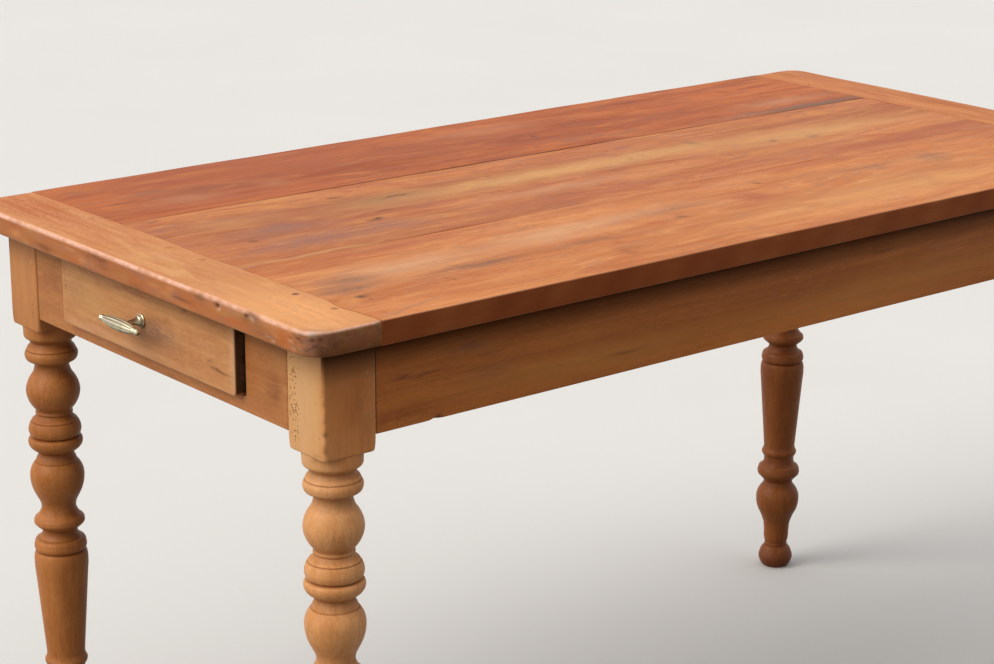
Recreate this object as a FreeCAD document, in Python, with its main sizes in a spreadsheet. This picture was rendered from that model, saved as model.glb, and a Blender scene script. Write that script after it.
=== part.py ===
# Kitchen table with a drawer in each end: turned legs, pegged aprons and a planked top with breadboard ends.
# X runs along the table, Y across it and Z up. The origin is on the floor under the middle of the table.
import FreeCAD, Part
import os
from types import SimpleNamespace

import Sketcher

doc = FreeCAD.newDocument("kitchen_table")

# Driving dimensions in millimetres
sizes = {
    # Whole table
    "table_length": 1365,
    "table_width": 696,
    "table_height": 760,
    "end_overhang": 32,
    "side_overhang": 28,
    # Top
    "top_thickness": 27,
    "breadboard_width": 82,
    "corner_radius": 27,
    "plank_front_width": 243,
    "plank_back_width": 210,
    "back_joint_skew": 9,
    "plank_gap": 0.6,
    "tongue_length": 24,
    "tongue_thickness": 9,
    "edge_tongue_depth": 8,
    "tongue_inset": 20,
    "tongue_clearance": 0.2,
    "breadboard_peg_radius": 4.5,
    "breadboard_peg_setback": 11,
    "peg_clearance": 0.1,
    # Legs
    "leg_block": 64,
    "block_height": 119,
    "ball_radius": 32.4,
    # Aprons and end boards
    "board_reveal": 0.8,
    "apron_thickness": 24,
    "apron_height": 102,
    "tenon_setback": 7,
    "tenon_thickness": 10,
    "tenon_shoulder": 10,
    "tenon_web": 12,
    "mortise_clearance": 0.2,
    "tenon_peg_radius": 4,
    "tenon_peg_length": 30,
    "tenon_peg_setback": 11,
    # Drawers
    "stile_width": 77.5,
    "rail_height": 17,
    "drawer_side_gap": 3,
    "drawer_top_gap": 2,
    "drawer_lift": 0.3,
    "drawer_proud": 11,
    "drawer_depth": 480,
    "drawer_front_thickness": 22,
    "drawer_side_thickness": 12,
    "drawer_side_drop": 8,
    "dovetail_lap": 7,
    "drawer_back_thickness": 12,
    "back_housing": 4,
    "back_setback": 8,
    "back_drop": 6,
    "bottom_thickness": 7,
    "bottom_rise": 7,
    "bottom_groove": 5,
    "panel_clearance": 0.2,
    "nail_radius": 1.2,
    "nail_length": 20,
    # Runners, guides and bearers
    "runner_lift": 3,
    "runner_ledge": 15,
    "guide_thickness": 13,
    "guide_height": 20,
    "guide_gap": 1,
    "housing_depth": 8,
    "bearer_thickness": 28,
    "stop_gap": 0.3,
    # Buttons that hold the top down, and their screws
    "button_width": 42,
    "button_reach": 40,
    "button_height": 18,
    "button_tongue_depth": 9,
    "button_tongue_height": 8,
    "screw_radius": 2.2,
    "screw_head_radius": 4.4,
    "screw_head_height": 3.2,
    "screw_bite": 14,
    "fastener_clearance": 0.1,
    # Drawer pulls
    "rose_radius": 7.8,
    "rose_thickness": 3.2,
    "post_radius": 5.8,
    "pull_projection": 27.5,
    "pull_offset": 6,
    "grip_length": 78,
    "grip_radius": 7.2,
    "grip_seat_depth": 1.2,
    "stud_radius": 2,
    "stud_bite": 10,
    "stud_tail": 8,
    "nut_width": 10,
    "nut_thickness": 4,
    # How far cutting shapes run past the face they cut from
    "overrun": 2,
}

# Turned leg from the floor up: height share of the turned length, radius share of the largest ball, and the
# radius share half way along the stretch where it is round instead of straight
turning_start_share = 0.600
turning_shares = [
    # Bun foot and its narrow neck
    (0.012, 0.740, 0.690), (0.034, 0.752, 0.795), (0.0495, 0.600, 0.700), (0.0535, 0.540, None),
    (0.062, 0.515, None),
    # Ankle and vase
    (0.080, 0.580, 0.560), (0.112, 0.615, 0.590), (0.143, 0.835, 0.705), (0.174, 0.995, 0.955),
    (0.190, 0.985, 1.000), (0.212, 0.765, 0.905), (0.226, 0.665, 0.685),
    # Low ring, neck and the collar at the foot of the column
    (0.2425, 0.945, 0.800), (0.2505, 0.980, 0.972), (0.264, 0.905, 0.958), (0.2705, 0.745, 0.800),
    (0.283, 0.690, 0.700), (0.291, 0.700, None), (0.2985, 0.795, 0.765), (0.304, 0.800, 0.805),
    (0.318, 0.715, 0.738),
    # Tapered column with its rounded shoulder and the groove above
    (0.492, 0.975, None), (0.516, 1.000, 0.996), (0.5325, 0.960, 0.994), (0.5365, 0.890, None),
    (0.5405, 0.945, None),
    # Flat ring, neck and edged ring
    (0.551, 0.958, 0.972), (0.5605, 0.895, 0.945), (0.568, 0.715, 0.775), (0.580, 0.655, 0.655),
    (0.5835, 0.700, None), (0.5925, 0.905, 0.825), (0.5985, 0.935, 0.938), (0.6045, 0.905, 0.928),
    (0.6265, 0.635, 0.715),
    # Pear
    (0.6415, 0.695, 0.650), (0.662, 0.890, 0.797), (0.690, 0.998, 0.968), (0.708, 0.945, 0.990),
    (0.7235, 0.760, 0.870), (0.7305, 0.712, None), (0.7395, 0.645, 0.668),
    # Double ring, parted by a groove
    (0.7475, 0.835, 0.735), (0.757, 0.985, 0.935), (0.7625, 1.000, 0.999), (0.7685, 0.945, 0.985),
    (0.7705, 0.880, None), (0.7725, 0.930, None), (0.784, 0.966, 0.960), (0.797, 0.912, 0.953),
    (0.8085, 0.818, 0.870), (0.819, 0.655, 0.715),
    # Ball
    (0.829, 0.690, 0.664), (0.8665, 0.990, 0.918), (0.900, 0.745, 0.925), (0.9175, 0.632, 0.668),
    # Collar, neck and the disc under the block
    (0.9225, 0.660, 0.640), (0.929, 0.885, 0.775), (0.9355, 0.955, 0.935), (0.944, 0.962, 0.970),
    (0.9565, 0.845, 0.908), (0.9655, 0.742, 0.772), (0.9735, 0.885, 0.800), (0.9795, 0.972, 0.950),
    (1.000, 0.985, None),
]

# Rose from the drawer front outwards, post from the rose outwards, and grip from end to end
rose_start_share = 1.0
rose_shares = [
    (0.30, 1.00, None), (0.62, 0.90, 0.99), (0.62, 0.84, None), (0.80, 0.79, 0.85), (1.00, 0.76, None),
]
post_start_share = 1.0
post_shares = [
    (0.10, 0.97, 1.02), (0.16, 0.84, None), (0.62, 0.51, 0.61), (0.86, 0.49, 0.48), (1.00, 0.62, 0.53),
]
grip_start_share = 0.20
grip_shares = [
    (0.018, 0.50, 0.41), (0.062, 0.36, 0.53), (0.076, 0.46, None), (0.300, 0.93, 0.74), (0.700, 0.93, 1.02),
    (0.924, 0.46, 0.74), (0.938, 0.36, None), (0.982, 0.50, 0.53), (1.000, 0.20, 0.41),
]

# Places along the piece that carries them
plank_peg_shares = (0.26, 0.54)
tenon_peg_shares = (0.24, 0.66)
button_shares = (-0.32, 0.0, 0.32)
tail_shares = (0.32, 0.74)
tail_narrow_share = 0.20
tail_wide_share = 0.30
nail_shares = (-0.4, 0.0, 0.4)
button_screw_share = 0.6
quarter_turn_share = 0.5 ** 0.5

sheet = doc.addObject("Spreadsheet::Sheet", "Sizes")
for row, (alias, number) in enumerate(sizes.items(), start=1):
    sheet.set(f"A{row}", alias)
    sheet.set(f"B{row}", str(number))
    sheet.setAlias(f"B{row}", alias)
doc.recompute()


# A length with the sheet expression that it comes from
class Size:
    def __init__(self, text, number):
        self.text = text
        self.number = number

    def __add__(self, other):
        return Size(f"({self.text} + {other.text})", self.number + other.number)

    def __sub__(self, other):
        return Size(f"({self.text} - {other.text})", self.number - other.number)

    def __neg__(self):
        return Size(f"(0 - {self.text})", -self.number)

    def __mul__(self, share):
        return Size(f"({self.text} * {share})", self.number * share)

    def __truediv__(self, share):
        return Size(f"({self.text} / {share})", self.number / share)

    def over(self, other):
        return self.number / other.number


s = SimpleNamespace(**{alias: Size(f"Sizes.{alias}", float(sheet.get(alias))) for alias in sizes})
zero = Size("0", 0.0)
nodes = []


def bind(item, **bindings):
    for name, value in bindings.items():
        item.setExpression(name, value.text)


def put(item, x=zero, y=zero, z=zero):
    for name, value in (("x", x), ("y", y), ("z", z)):
        item.setExpression(f"Placement.Base.{name}", value.text)
    return item


def node(item, label):
    item.Label = label
    nodes.append(item)
    return item


# Board given by its middle in X and Y and its underside in Z
def board(label, x, y, z, length, width, height):
    item = doc.addObject("Part::Box", label)
    bind(item, Length=length, Width=width, Height=height)
    return put(item, x - length / 2, y - width / 2, z)


# Round bar from its first end, along X, Y or Z
def bar(label, axis, x, y, z, radius, length):
    item = doc.addObject("Part::Cylinder", label)
    bind(item, Radius=radius, Height=length)
    turns = {"x": (0, 90, 0), "y": (0, 0, -90), "z": (0, 0, 0)}
    item.Placement = FreeCAD.Placement(FreeCAD.Vector(), FreeCAD.Rotation(*turns[axis]))
    return put(item, x, y, z)


def joined(label, pieces):
    item = doc.addObject("Part::MultiFuse", label)
    item.Shapes = pieces
    return item


def cut(label, base, tools):
    item = doc.addObject("Part::Cut", label)
    item.Base = base
    item.Tool = tools[0] if len(tools) == 1 else joined(label + "_tools", tools)
    return item


def mirrored(label, source, normal):
    item = doc.addObject("Part::Mirroring", label)
    item.Source = source
    item.Normal = normal
    return item


alongX = FreeCAD.Vector(1, 0, 0)
alongY = FreeCAD.Vector(0, 1, 0)


# Closed outline on an origin plane of a body. A corner is a pair of sizes, and where it holds two pairs, the
# stretch that leads to it is an arc through the second pair.
def outline(body, label, role, corners, rise=zero):
    sketch = body.newObject("Sketcher::SketchObject", label)
    plane = next(item for item in body.Origin.OriginFeatures if item.Role == role)
    sketch.AttachmentSupport = (plane, [""])
    sketch.MapMode = "FlatFace"
    sketch.setExpression("AttachmentOffset.Base.z", rise.text)
    places = [FreeCAD.Vector(corner[0].number, corner[1].number, 0) for corner in corners]
    for index, corner in enumerate(corners):
        if len(corner) > 2:
            middle = FreeCAD.Vector(corner[2].number, corner[3].number, 0)
            sketch.addGeometry(Part.Arc(places[index - 1], middle, places[index]), False)
        else:
            sketch.addGeometry(Part.LineSegment(places[index - 1], places[index]), False)
    rules = []
    texts = {}

    def fixed(geometry, point, x, y):
        for kind, value in (("DistanceX", x), ("DistanceY", y)):
            texts[len(rules)] = value.text
            rules.append(Sketcher.Constraint(kind, -1, 1, geometry, point, value.number))

    def end_of(index):
        away = [(sketch.getPoint(index, point) - places[index]).Length for point in (1, 2)]
        return 1 if away[0] < away[1] else 2

    count = len(corners)
    for index, corner in enumerate(corners):
        following = (index + 1) % count
        last = end_of(index)
        first = 3 - end_of(following)
        fixed(index, last, corner[0], corner[1])
        rules.append(Sketcher.Constraint("Coincident", index, last, following, first))
        if len(corner) > 2:
            middle = FreeCAD.Vector(corner[2].number, corner[3].number, 0)
            point = sketch.addGeometry(Part.Point(middle), True)
            fixed(point, 1, corner[2], corner[3])
            rules.append(Sketcher.Constraint("PointOnObject", point, 1, index))
    sketch.addConstraint(rules)
    for index, text in texts.items():
        sketch.setExpression(f"Constraints[{index}]", text)
    return sketch


def padded(body, label, corners, rise, length):
    pad = body.newObject("PartDesign::Pad", label)
    pad.Profile = outline(body, label + "_outline", "XY_Plane", corners, rise)
    bind(pad, Length=length)
    return pad


def pocketed(body, label, corners, rise, length):
    pocket = body.newObject("PartDesign::Pocket", label)
    pocket.Profile = outline(body, label + "_outline", "XY_Plane", corners, rise)
    bind(pocket, Length=length)
    return pocket


# Solid of revolution that stands on the origin, from rows of shares of its length and radius
def turned(label, length, radius, start_share, shares):
    body = doc.addObject("PartDesign::Body", label)
    corners = [(zero, zero), (radius * start_share, zero)]
    foot_share = 0.0
    for height_share, radius_share, round_share in shares:
        corner = (radius * radius_share, length * height_share)
        if round_share is not None:
            corner += (radius * round_share, length * ((foot_share + height_share) / 2))
        corners.append(corner)
        foot_share = height_share
    corners.append((zero, length))
    revolution = body.newObject("PartDesign::Revolution", label + "_turning")
    revolution.Profile = outline(body, label + "_profile", "XZ_Plane", corners)
    revolution.ReferenceAxis = (revolution.Profile[0], ["V_Axis"])
    revolution.Angle = 360
    return body


# Levels and faces that several pieces share
underside = s.table_height - s.top_thickness
halfLength = s.table_length / 2
halfWidth = s.table_width / 2
plankHalf = halfLength - s.breadboard_width
frameHalfLength = halfLength - s.end_overhang
frameHalfWidth = halfWidth - s.side_overhang
turnedLength = underside - s.block_height
apronBottom = underside - s.apron_height
legX = -frameHalfLength + s.leg_block / 2
legY = -frameHalfWidth + s.leg_block / 2
shoulderX = -frameHalfLength + s.leg_block
shoulderY = -frameHalfWidth + s.leg_block
endFace = -frameHalfLength + s.board_reveal
endInner = endFace + s.apron_thickness
sideFace = -frameHalfWidth + s.board_reveal
sideInner = sideFace + s.apron_thickness
railTop = apronBottom + s.rail_height


# Pegs through the front left leg block and its two tenons, for the pegs themselves or the holes
tenonLength = s.leg_block - s.board_reveal - s.tenon_setback - s.tenon_thickness - s.tenon_web
pegX = shoulderX - s.tenon_peg_setback
pegY = shoulderY - s.tenon_peg_setback
pegHeights = [apronBottom + s.apron_height * share for share in tenon_peg_shares]


def side_pegs(label, grow):
    return [bar(f"{label}_{index}", "y", pegX, -frameHalfWidth, height, s.tenon_peg_radius + grow,
                s.tenon_peg_length + grow) for index, height in enumerate(pegHeights)]


def end_pegs(label, grow):
    return [bar(f"{label}_{index}", "x", -frameHalfLength, pegY, height, s.tenon_peg_radius + grow,
                s.tenon_peg_length + grow) for index, height in enumerate(pegHeights)]


sideHoles = side_pegs("side_peg_hole", s.peg_clearance)
endHoles = end_pegs("end_peg_hole", s.peg_clearance)

# Tenons of the front left corner, and their mortises
tenonHeight = s.apron_height - s.tenon_shoulder * 2
tenonBottom = apronBottom + s.tenon_shoulder


def side_tenon(label, grow):
    x = shoulderX - (tenonLength + grow) / 2
    y = sideFace + s.tenon_setback + s.tenon_thickness / 2
    return board(label, x, y, tenonBottom - grow, tenonLength + grow, s.tenon_thickness + grow * 2,
                 tenonHeight + grow * 2)


def end_tenon(label, grow):
    x = endFace + s.tenon_setback + s.tenon_thickness / 2
    y = shoulderY - (tenonLength + grow) / 2
    return board(label, x, y, tenonBottom - grow, s.tenon_thickness + grow * 2, tenonLength + grow,
                 tenonHeight + grow * 2)


# Legs: a square block on a turned shaft
shaft = turned("leg_shaft", turnedLength, s.ball_radius, turning_start_share, turning_shares)
put(shaft, legX, legY)
block = board("leg_block", legX, legY, turnedLength, s.leg_block, s.leg_block, s.block_height)
legBlank = joined("leg_blank", [shaft, block])
mortises = [
    side_tenon("side_mortise", s.mortise_clearance),
    end_tenon("end_mortise", s.mortise_clearance),
]
legFrontLeft = node(cut("leg_front_left", legBlank, mortises + sideHoles + endHoles), "leg_front_left")
legBackLeft = node(mirrored("leg_back_left", legFrontLeft, alongY), "leg_back_left")
node(mirrored("leg_front_right", legFrontLeft, alongX), "leg_front_right")
node(mirrored("leg_back_right", legBackLeft, alongX), "leg_back_right")
quarterPegs = joined("corner_tenon_pegs", side_pegs("side_peg", zero) + end_pegs("end_peg", zero))
quarterPegsBack = mirrored("corner_tenon_pegs_back", quarterPegs, alongY)
leftPegs = joined("left_tenon_pegs", [quarterPegs, quarterPegsBack])
node(joined("tenon_pegs", [leftPegs, mirrored("right_tenon_pegs", leftPegs, alongX)]), "tenon_pegs")

# Buttons under the top, tongued into the front apron, and their screws
buttonY = sideInner + s.button_reach / 2
screwY = sideInner + s.button_reach * button_screw_share
buttonBottom = underside - s.button_height


def screw(label, x, grow):
    shank = bar(label + "_shank", "z", x, screwY, buttonBottom, s.screw_radius + grow,
                s.button_height + s.screw_bite + grow)
    head = doc.addObject("Part::Cone", label + "_head")
    bind(head, Radius1=s.screw_head_radius + grow, Radius2=s.screw_radius + grow,
         Height=s.screw_head_height + grow)
    return joined(label, [shank, put(head, x, screwY, buttonBottom)])


buttons, screws, screwHoles, buttonSlots = [], [], [], []
for index, share in enumerate(button_shares):
    x = frameHalfLength * (2 * share)
    screwHoles.append(screw(f"screw_hole_{index}", x, s.fastener_clearance))
    screws.append(screw(f"screw_{index}", x, zero))
    plate = board(f"button_plate_{index}", x, buttonY, buttonBottom, s.button_width, s.button_reach,
                  s.button_height)
    tongue = board(f"button_tongue_{index}", x, sideInner - s.button_tongue_depth / 2, buttonBottom,
                   s.button_width, s.button_tongue_depth, s.button_tongue_height)
    slotDepth = s.button_tongue_depth + s.tongue_clearance
    buttonSlots.append(board(f"button_slot_{index}", x, sideInner - slotDepth / 2,
                             buttonBottom - s.tongue_clearance, s.button_width + s.tongue_clearance * 2,
                             slotDepth, s.button_tongue_height + s.tongue_clearance * 2))
    blank = joined(f"button_blank_{index}", [plate, tongue])
    buttons.append(cut(f"button_{index}", blank, [screwHoles[-1]]))
frontButtons = joined("front_buttons", buttons)
node(joined("top_buttons", [frontButtons, mirrored("back_buttons", frontButtons, alongY)]), "top_buttons")
frontScrews = joined("front_screws", screws)
node(joined("button_screws", [frontScrews, mirrored("back_screws", frontScrews, alongY)]), "button_screws")
frontScrewHoles = joined("front_screw_holes", screwHoles)
backScrewHoles = mirrored("back_screw_holes", frontScrewHoles, alongY)

# Bearer that carries the middle of the top and stops the left drawer
bearerX = endFace + s.drawer_depth + s.stop_gap + s.bearer_thickness / 2
bearerBottom = apronBottom + s.runner_lift
bearerHeight = underside - bearerBottom


def bearer_blank(label, grow):
    reach = s.housing_depth - sideInner + grow
    return board(label, bearerX, zero, bearerBottom - grow, s.bearer_thickness + grow * 2, reach * 2,
                 bearerHeight + grow)


# Long aprons, tenoned into the legs and housed for the bearers
apronBoard = board("apron_board", zero, sideFace + s.apron_thickness / 2, apronBottom, shoulderX * -2,
                   s.apron_thickness, s.apron_height)
apronTenon = side_tenon("apron_tenon", zero)
apronTenonRight = mirrored("apron_tenon_right", apronTenon, alongX)
apronBlank = joined("apron_blank", [apronBoard, apronTenon, apronTenonRight])
bearerHousing = bearer_blank("bearer_housing", s.mortise_clearance)
leftCuts = joined("apron_left_cuts", sideHoles + [bearerHousing])
apronCuts = [leftCuts, mirrored("apron_right_cuts", leftCuts, alongX)] + buttonSlots
apronFront = node(cut("apron_front", apronBlank, apronCuts), "apron_front")
node(mirrored("apron_back", apronFront, alongY), "apron_back")

# Drawer places
halfOpening = -shoulderY - s.stile_width
drawerHalf = halfOpening - s.drawer_side_gap
drawerBottom = railTop + s.drawer_lift
frontHeight = underside - s.drawer_top_gap - drawerBottom
frontFace = endFace - s.drawer_proud
frontInner = frontFace + s.drawer_front_thickness
drawerEnd = frontFace + s.drawer_depth

# Runners under the drawer sides, housed in the end board and the bearer, and guides beside them
runnerHeight = s.rail_height - s.runner_lift
runnerWidth = s.runner_ledge + s.guide_gap + s.guide_thickness
runnerY = -drawerHalf + s.runner_ledge - runnerWidth / 2
runnerStart = endInner - s.housing_depth
runnerEnd = bearerX - s.bearer_thickness / 2 + s.housing_depth


def runner_blank(label, grow):
    return board(label, (runnerStart + runnerEnd) / 2, runnerY, bearerBottom - grow,
                 runnerEnd - runnerStart + grow * 2, runnerWidth + grow * 2, runnerHeight + grow)


runnerFront = node(runner_blank("runner_left_front", zero), "runner_left_front")
runnerBack = node(mirrored("runner_left_back", runnerFront, alongY), "runner_left_back")
guideLength = bearerX - s.bearer_thickness / 2 - endInner
guideFront = node(board("guide_left_front", endInner + guideLength / 2,
                        -drawerHalf - s.guide_gap - s.guide_thickness / 2, railTop, guideLength,
                        s.guide_thickness, s.guide_height), "guide_left_front")
guideBack = node(mirrored("guide_left_back", guideFront, alongY), "guide_left_back")
runnerHousing = runner_blank("runner_housing", s.mortise_clearance)
runnerHousings = [runnerHousing, mirrored("runner_housing_back", runnerHousing, alongY)]
bearer = node(cut("bearer_left", bearer_blank("bearer_board", zero), runnerHousings), "bearer_left")

# End board, notched from above for the drawer
endBoard = board("end_board", endFace + s.apron_thickness / 2, zero, apronBottom, s.apron_thickness,
                 shoulderY * -2, s.apron_height)
endTenon = end_tenon("end_board_tenon", zero)
endBlank = joined("end_blank", [endBoard, endTenon, mirrored("end_board_tenon_back", endTenon, alongY)])
notchHeight = underside - railTop + s.overrun
notch = board("drawer_notch", endFace + s.apron_thickness / 2, zero, railTop,
              s.apron_thickness + s.overrun * 2, halfOpening * 2, notchHeight)
endPegHoles = joined("end_peg_holes", endHoles)
endCuts = [notch, endPegHoles, mirrored("end_peg_holes_back", endPegHoles, alongY)] + runnerHousings
endBoardLeft = node(cut("end_board_left", endBlank, endCuts), "end_board_left")

# Bottom board of the drawer, and the same board grown for its grooves
sideHeight = frontHeight - s.drawer_side_drop
bottomZ = drawerBottom + s.bottom_rise
innerHalf = drawerHalf - s.drawer_side_thickness


def bottom_board(label, grow):
    start = frontInner - s.bottom_groove - grow
    return board(label, (start + drawerEnd) / 2, zero, bottomZ - grow, drawerEnd - start,
                 (innerHalf + s.bottom_groove + grow) * 2, s.bottom_thickness + grow * 2)


# Back of the drawer, housed in the sides and standing on the bottom
backX = drawerEnd - s.back_setback - s.drawer_back_thickness / 2
backZ = bottomZ + s.bottom_thickness
backHeight = drawerBottom + sideHeight - s.back_drop - backZ


def back_board(label, grow):
    return board(label, backX, zero, backZ - grow, s.drawer_back_thickness + grow * 2,
                 (innerHalf + s.back_housing + grow) * 2, backHeight + grow * 2)


# Nails up through the bottom into the back
def nails(label, grow):
    return [bar(f"{label}_{index}", "z", backX, innerHalf * (2 * share), bottomZ, s.nail_radius + grow,
                s.nail_length + grow) for index, share in enumerate(nail_shares)]


nailHoles = nails("nail_hole", s.fastener_clearance)
drawerNails = node(joined("drawer_left_nails", nails("nail", zero)), "drawer_left_nails")
drawerBottomBoard = node(cut("drawer_left_bottom", bottom_board("bottom_blank", zero), nailHoles),
                         "drawer_left_bottom")
drawerBack = node(cut("drawer_left_back", back_board("back_blank", zero), nailHoles), "drawer_left_back")
bottomGroove = bottom_board("bottom_groove_cut", s.panel_clearance)
backHousing = back_board("back_housing_cut", s.panel_clearance)

# Dovetails at the front end of the drawer's front side
tailLength = s.drawer_front_thickness - s.dovetail_lap


def tail(label, share):
    item = doc.addObject("Part::Wedge", label)
    narrow = sideHeight * (tail_narrow_share / 2)
    wide = sideHeight * (tail_wide_share / 2)
    bind(item, Xmin=zero, X2min=zero, Xmax=s.drawer_side_thickness, X2max=s.drawer_side_thickness, Ymin=zero,
         Ymax=tailLength, Zmin=-narrow, Zmax=narrow, Z2min=-wide, Z2max=wide)
    item.Placement = FreeCAD.Placement(FreeCAD.Vector(), FreeCAD.Rotation(90, 0, 0))
    return put(item, frontInner, -drawerHalf, drawerBottom + sideHeight * share)


tails = [tail(f"dovetail_{index}", share) for index, share in enumerate(tail_shares)]
sideBoard = board("side_board", (frontInner + drawerEnd) / 2, -drawerHalf + s.drawer_side_thickness / 2,
                  drawerBottom, drawerEnd - frontInner, s.drawer_side_thickness, sideHeight)
sideBlank = joined("side_blank", [sideBoard] + tails)
sideCut = cut("drawer_left_side_front", sideBlank, [bottomGroove, backHousing])
sideFront = node(sideCut, "drawer_left_side_front")
sideBack = node(mirrored("drawer_left_side_back", sideFront, alongY), "drawer_left_side_back")

# Pull: rose, post and grip, held by a stud and a square nut
pullZ = drawerBottom + frontHeight / 2
outwards = FreeCAD.Rotation(0, -90, 0)
across = FreeCAD.Rotation(0, 0, -90)
roseFace = frontFace - s.rose_thickness
seatX = frontFace - s.pull_projection + s.grip_radius - s.grip_seat_depth
postLength = roseFace - seatX
studStart = roseFace - s.stud_bite
studLength = frontInner + s.nut_thickness + s.stud_tail - studStart


def stud(label, grow):
    return bar(label, "x", studStart - grow, s.pull_offset, pullZ, s.stud_radius + grow, studLength + grow)


studHole = stud("stud_hole", s.fastener_clearance)
roseBody = turned("rose_body", s.rose_thickness, s.rose_radius, rose_start_share, rose_shares)
roseBody.Placement = FreeCAD.Placement(FreeCAD.Vector(), outwards)
put(roseBody, frontFace, s.pull_offset, pullZ)
pullRose = node(cut("pull_left_rose", roseBody, [studHole]), "pull_left_rose")
postBody = turned("post_body", postLength, s.post_radius, post_start_share, post_shares)
postBody.Placement = FreeCAD.Placement(FreeCAD.Vector(), outwards)
put(postBody, roseFace, s.pull_offset, pullZ)
pullPost = node(cut("pull_left_post", postBody, [studHole]), "pull_left_post")
gripBody = turned("grip_body", s.grip_length, s.grip_radius, grip_start_share, grip_shares)
gripBody.Placement = FreeCAD.Placement(FreeCAD.Vector(), across)
put(gripBody, frontFace - s.pull_projection, s.pull_offset - s.grip_length / 2, pullZ)
seatRadius = s.post_radius * post_shares[-1][1] + s.fastener_clearance
seat = bar("grip_seat", "x", seatX, s.pull_offset, pullZ, seatRadius, s.grip_radius)
pullGrip = node(cut("pull_left_grip", gripBody, [seat]), "pull_left_grip")
pullStud = node(stud("pull_left_stud", zero), "pull_left_stud")
nutBlank = board("nut_blank", frontInner + s.nut_thickness / 2, s.pull_offset, pullZ - s.nut_width / 2,
                 s.nut_thickness, s.nut_width, s.nut_width)
pullNut = node(cut("pull_left_nut", nutBlank, [studHole]), "pull_left_nut")

# Drawer front with sockets for the dovetails, a groove for the bottom and a hole for the stud
frontBoard = board("front_board", (frontFace + frontInner) / 2, zero, drawerBottom, s.drawer_front_thickness,
                   drawerHalf * 2, frontHeight)
frontSockets = joined("front_sockets", tails)
frontCuts = [frontSockets, mirrored("back_sockets", frontSockets, alongY), bottomGroove, studHole]
drawerFront = node(cut("drawer_left_front", frontBoard, frontCuts), "drawer_left_front")

# Outlines of the top. The joint between the middle and back planks runs at a slight skew.
frontJoint = -halfWidth + s.plank_front_width
backJoint = halfWidth - s.plank_back_width
halfGap = s.plank_gap / 2
tongueReach = plankHalf + s.tongue_length
tongueBottom = underside + (s.top_thickness - s.tongue_thickness) / 2


# Four corners between two edges that run along the table, each given by its middle and by its skew at the
# plank's end
def strip(reach, low, low_skew, high, high_skew):
    grow = reach.over(plankHalf)
    return [(-reach, low + low_skew * grow), (reach, low - low_skew * grow),
            (reach, high - high_skew * grow), (-reach, high + high_skew * grow)]


def plank(label, low, low_skew, high, high_skew, tongue_low, tongue_high, grooved):
    body = doc.addObject("PartDesign::Body", label)
    face = strip(plankHalf, low, low_skew, high, high_skew)
    padded(body, label + "_board", face, underside, s.top_thickness)
    core = strip(tongueReach, tongue_low, low_skew, tongue_high, high_skew)
    padded(body, label + "_tongue", core, tongueBottom, s.tongue_thickness)
    if grooved:
        bed = low + s.edge_tongue_depth + s.tongue_clearance
        groove = strip(tongueReach + s.overrun, low - s.overrun, low_skew, bed, low_skew)
        pocketed(body, label + "_groove", groove, tongueBottom + s.tongue_thickness + s.tongue_clearance,
                 s.tongue_thickness + s.tongue_clearance * 2)
    return body


planks = {
    "plank_front": (-halfWidth, frontJoint, plank(
        "plank_front_body", -halfWidth, zero, frontJoint - halfGap, zero, -halfWidth + s.tongue_inset,
        frontJoint - halfGap + s.edge_tongue_depth, False)),
    "plank_middle": (frontJoint, backJoint, plank(
        "plank_middle_body", frontJoint + halfGap, zero, backJoint - halfGap, s.back_joint_skew,
        frontJoint + halfGap, backJoint - halfGap + s.edge_tongue_depth, True)),
    "plank_back": (backJoint, halfWidth, plank(
        "plank_back_body", backJoint + halfGap, s.back_joint_skew, halfWidth, zero, backJoint + halfGap,
        halfWidth - s.tongue_inset, True)),
}


# Pegs through the breadboard and the planks' tongues at the left end
def top_pegs(label, low, high, grow):
    x = -plankHalf - s.breadboard_peg_setback
    radius = s.breadboard_peg_radius + grow
    return [bar(f"{label}_{index}", "z", x, low + (high - low) * share, underside, radius, s.top_thickness)
            for index, share in enumerate(plank_peg_shares)]


leftTopPegs, leftTopHoles = [], []
screwHolesOf = {"plank_front": [frontScrewHoles], "plank_middle": [], "plank_back": [backScrewHoles]}
for label, (low, high, body) in planks.items():
    leftTopPegs += top_pegs(label + "_peg", low, high, zero)
    holes = joined(label + "_peg_holes", top_pegs(label + "_hole", low, high, s.peg_clearance))
    leftTopHoles.append(holes)
    cuts = [holes, mirrored(label + "_peg_holes_right", holes, alongX)] + screwHolesOf[label]
    node(cut(label, body, cuts), label)
leftPegGroup = joined("left_top_pegs", leftTopPegs)
rightPegGroup = mirrored("right_top_pegs", leftPegGroup, alongX)
node(joined("breadboard_pegs", [leftPegGroup, rightPegGroup]), "breadboard_pegs")

# Breadboard end with rounded outer corners and a stopped groove for the tongues
boardBody = doc.addObject("PartDesign::Body", "breadboard_body")
cornerIn = s.corner_radius * (1 - quarter_turn_share)
padded(boardBody, "breadboard_board", [
    (-plankHalf, -halfWidth), (-plankHalf, halfWidth), (-halfLength + s.corner_radius, halfWidth),
    (-halfLength, halfWidth - s.corner_radius, -halfLength + cornerIn, halfWidth - cornerIn),
    (-halfLength, -halfWidth + s.corner_radius),
    (-halfLength + s.corner_radius, -halfWidth, -halfLength + cornerIn, -halfWidth + cornerIn),
], underside, s.top_thickness)
grooveDepth = s.tongue_length + s.tongue_clearance
groove = board("breadboard_groove", -plankHalf - (grooveDepth - s.overrun) / 2, zero,
               tongueBottom - s.tongue_clearance, grooveDepth + s.overrun,
               (halfWidth - s.tongue_inset + s.tongue_clearance) * 2,
               s.tongue_thickness + s.tongue_clearance * 2)
breadboard = node(cut("breadboard_left", boardBody, [groove] + leftTopHoles), "breadboard_left")

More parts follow.
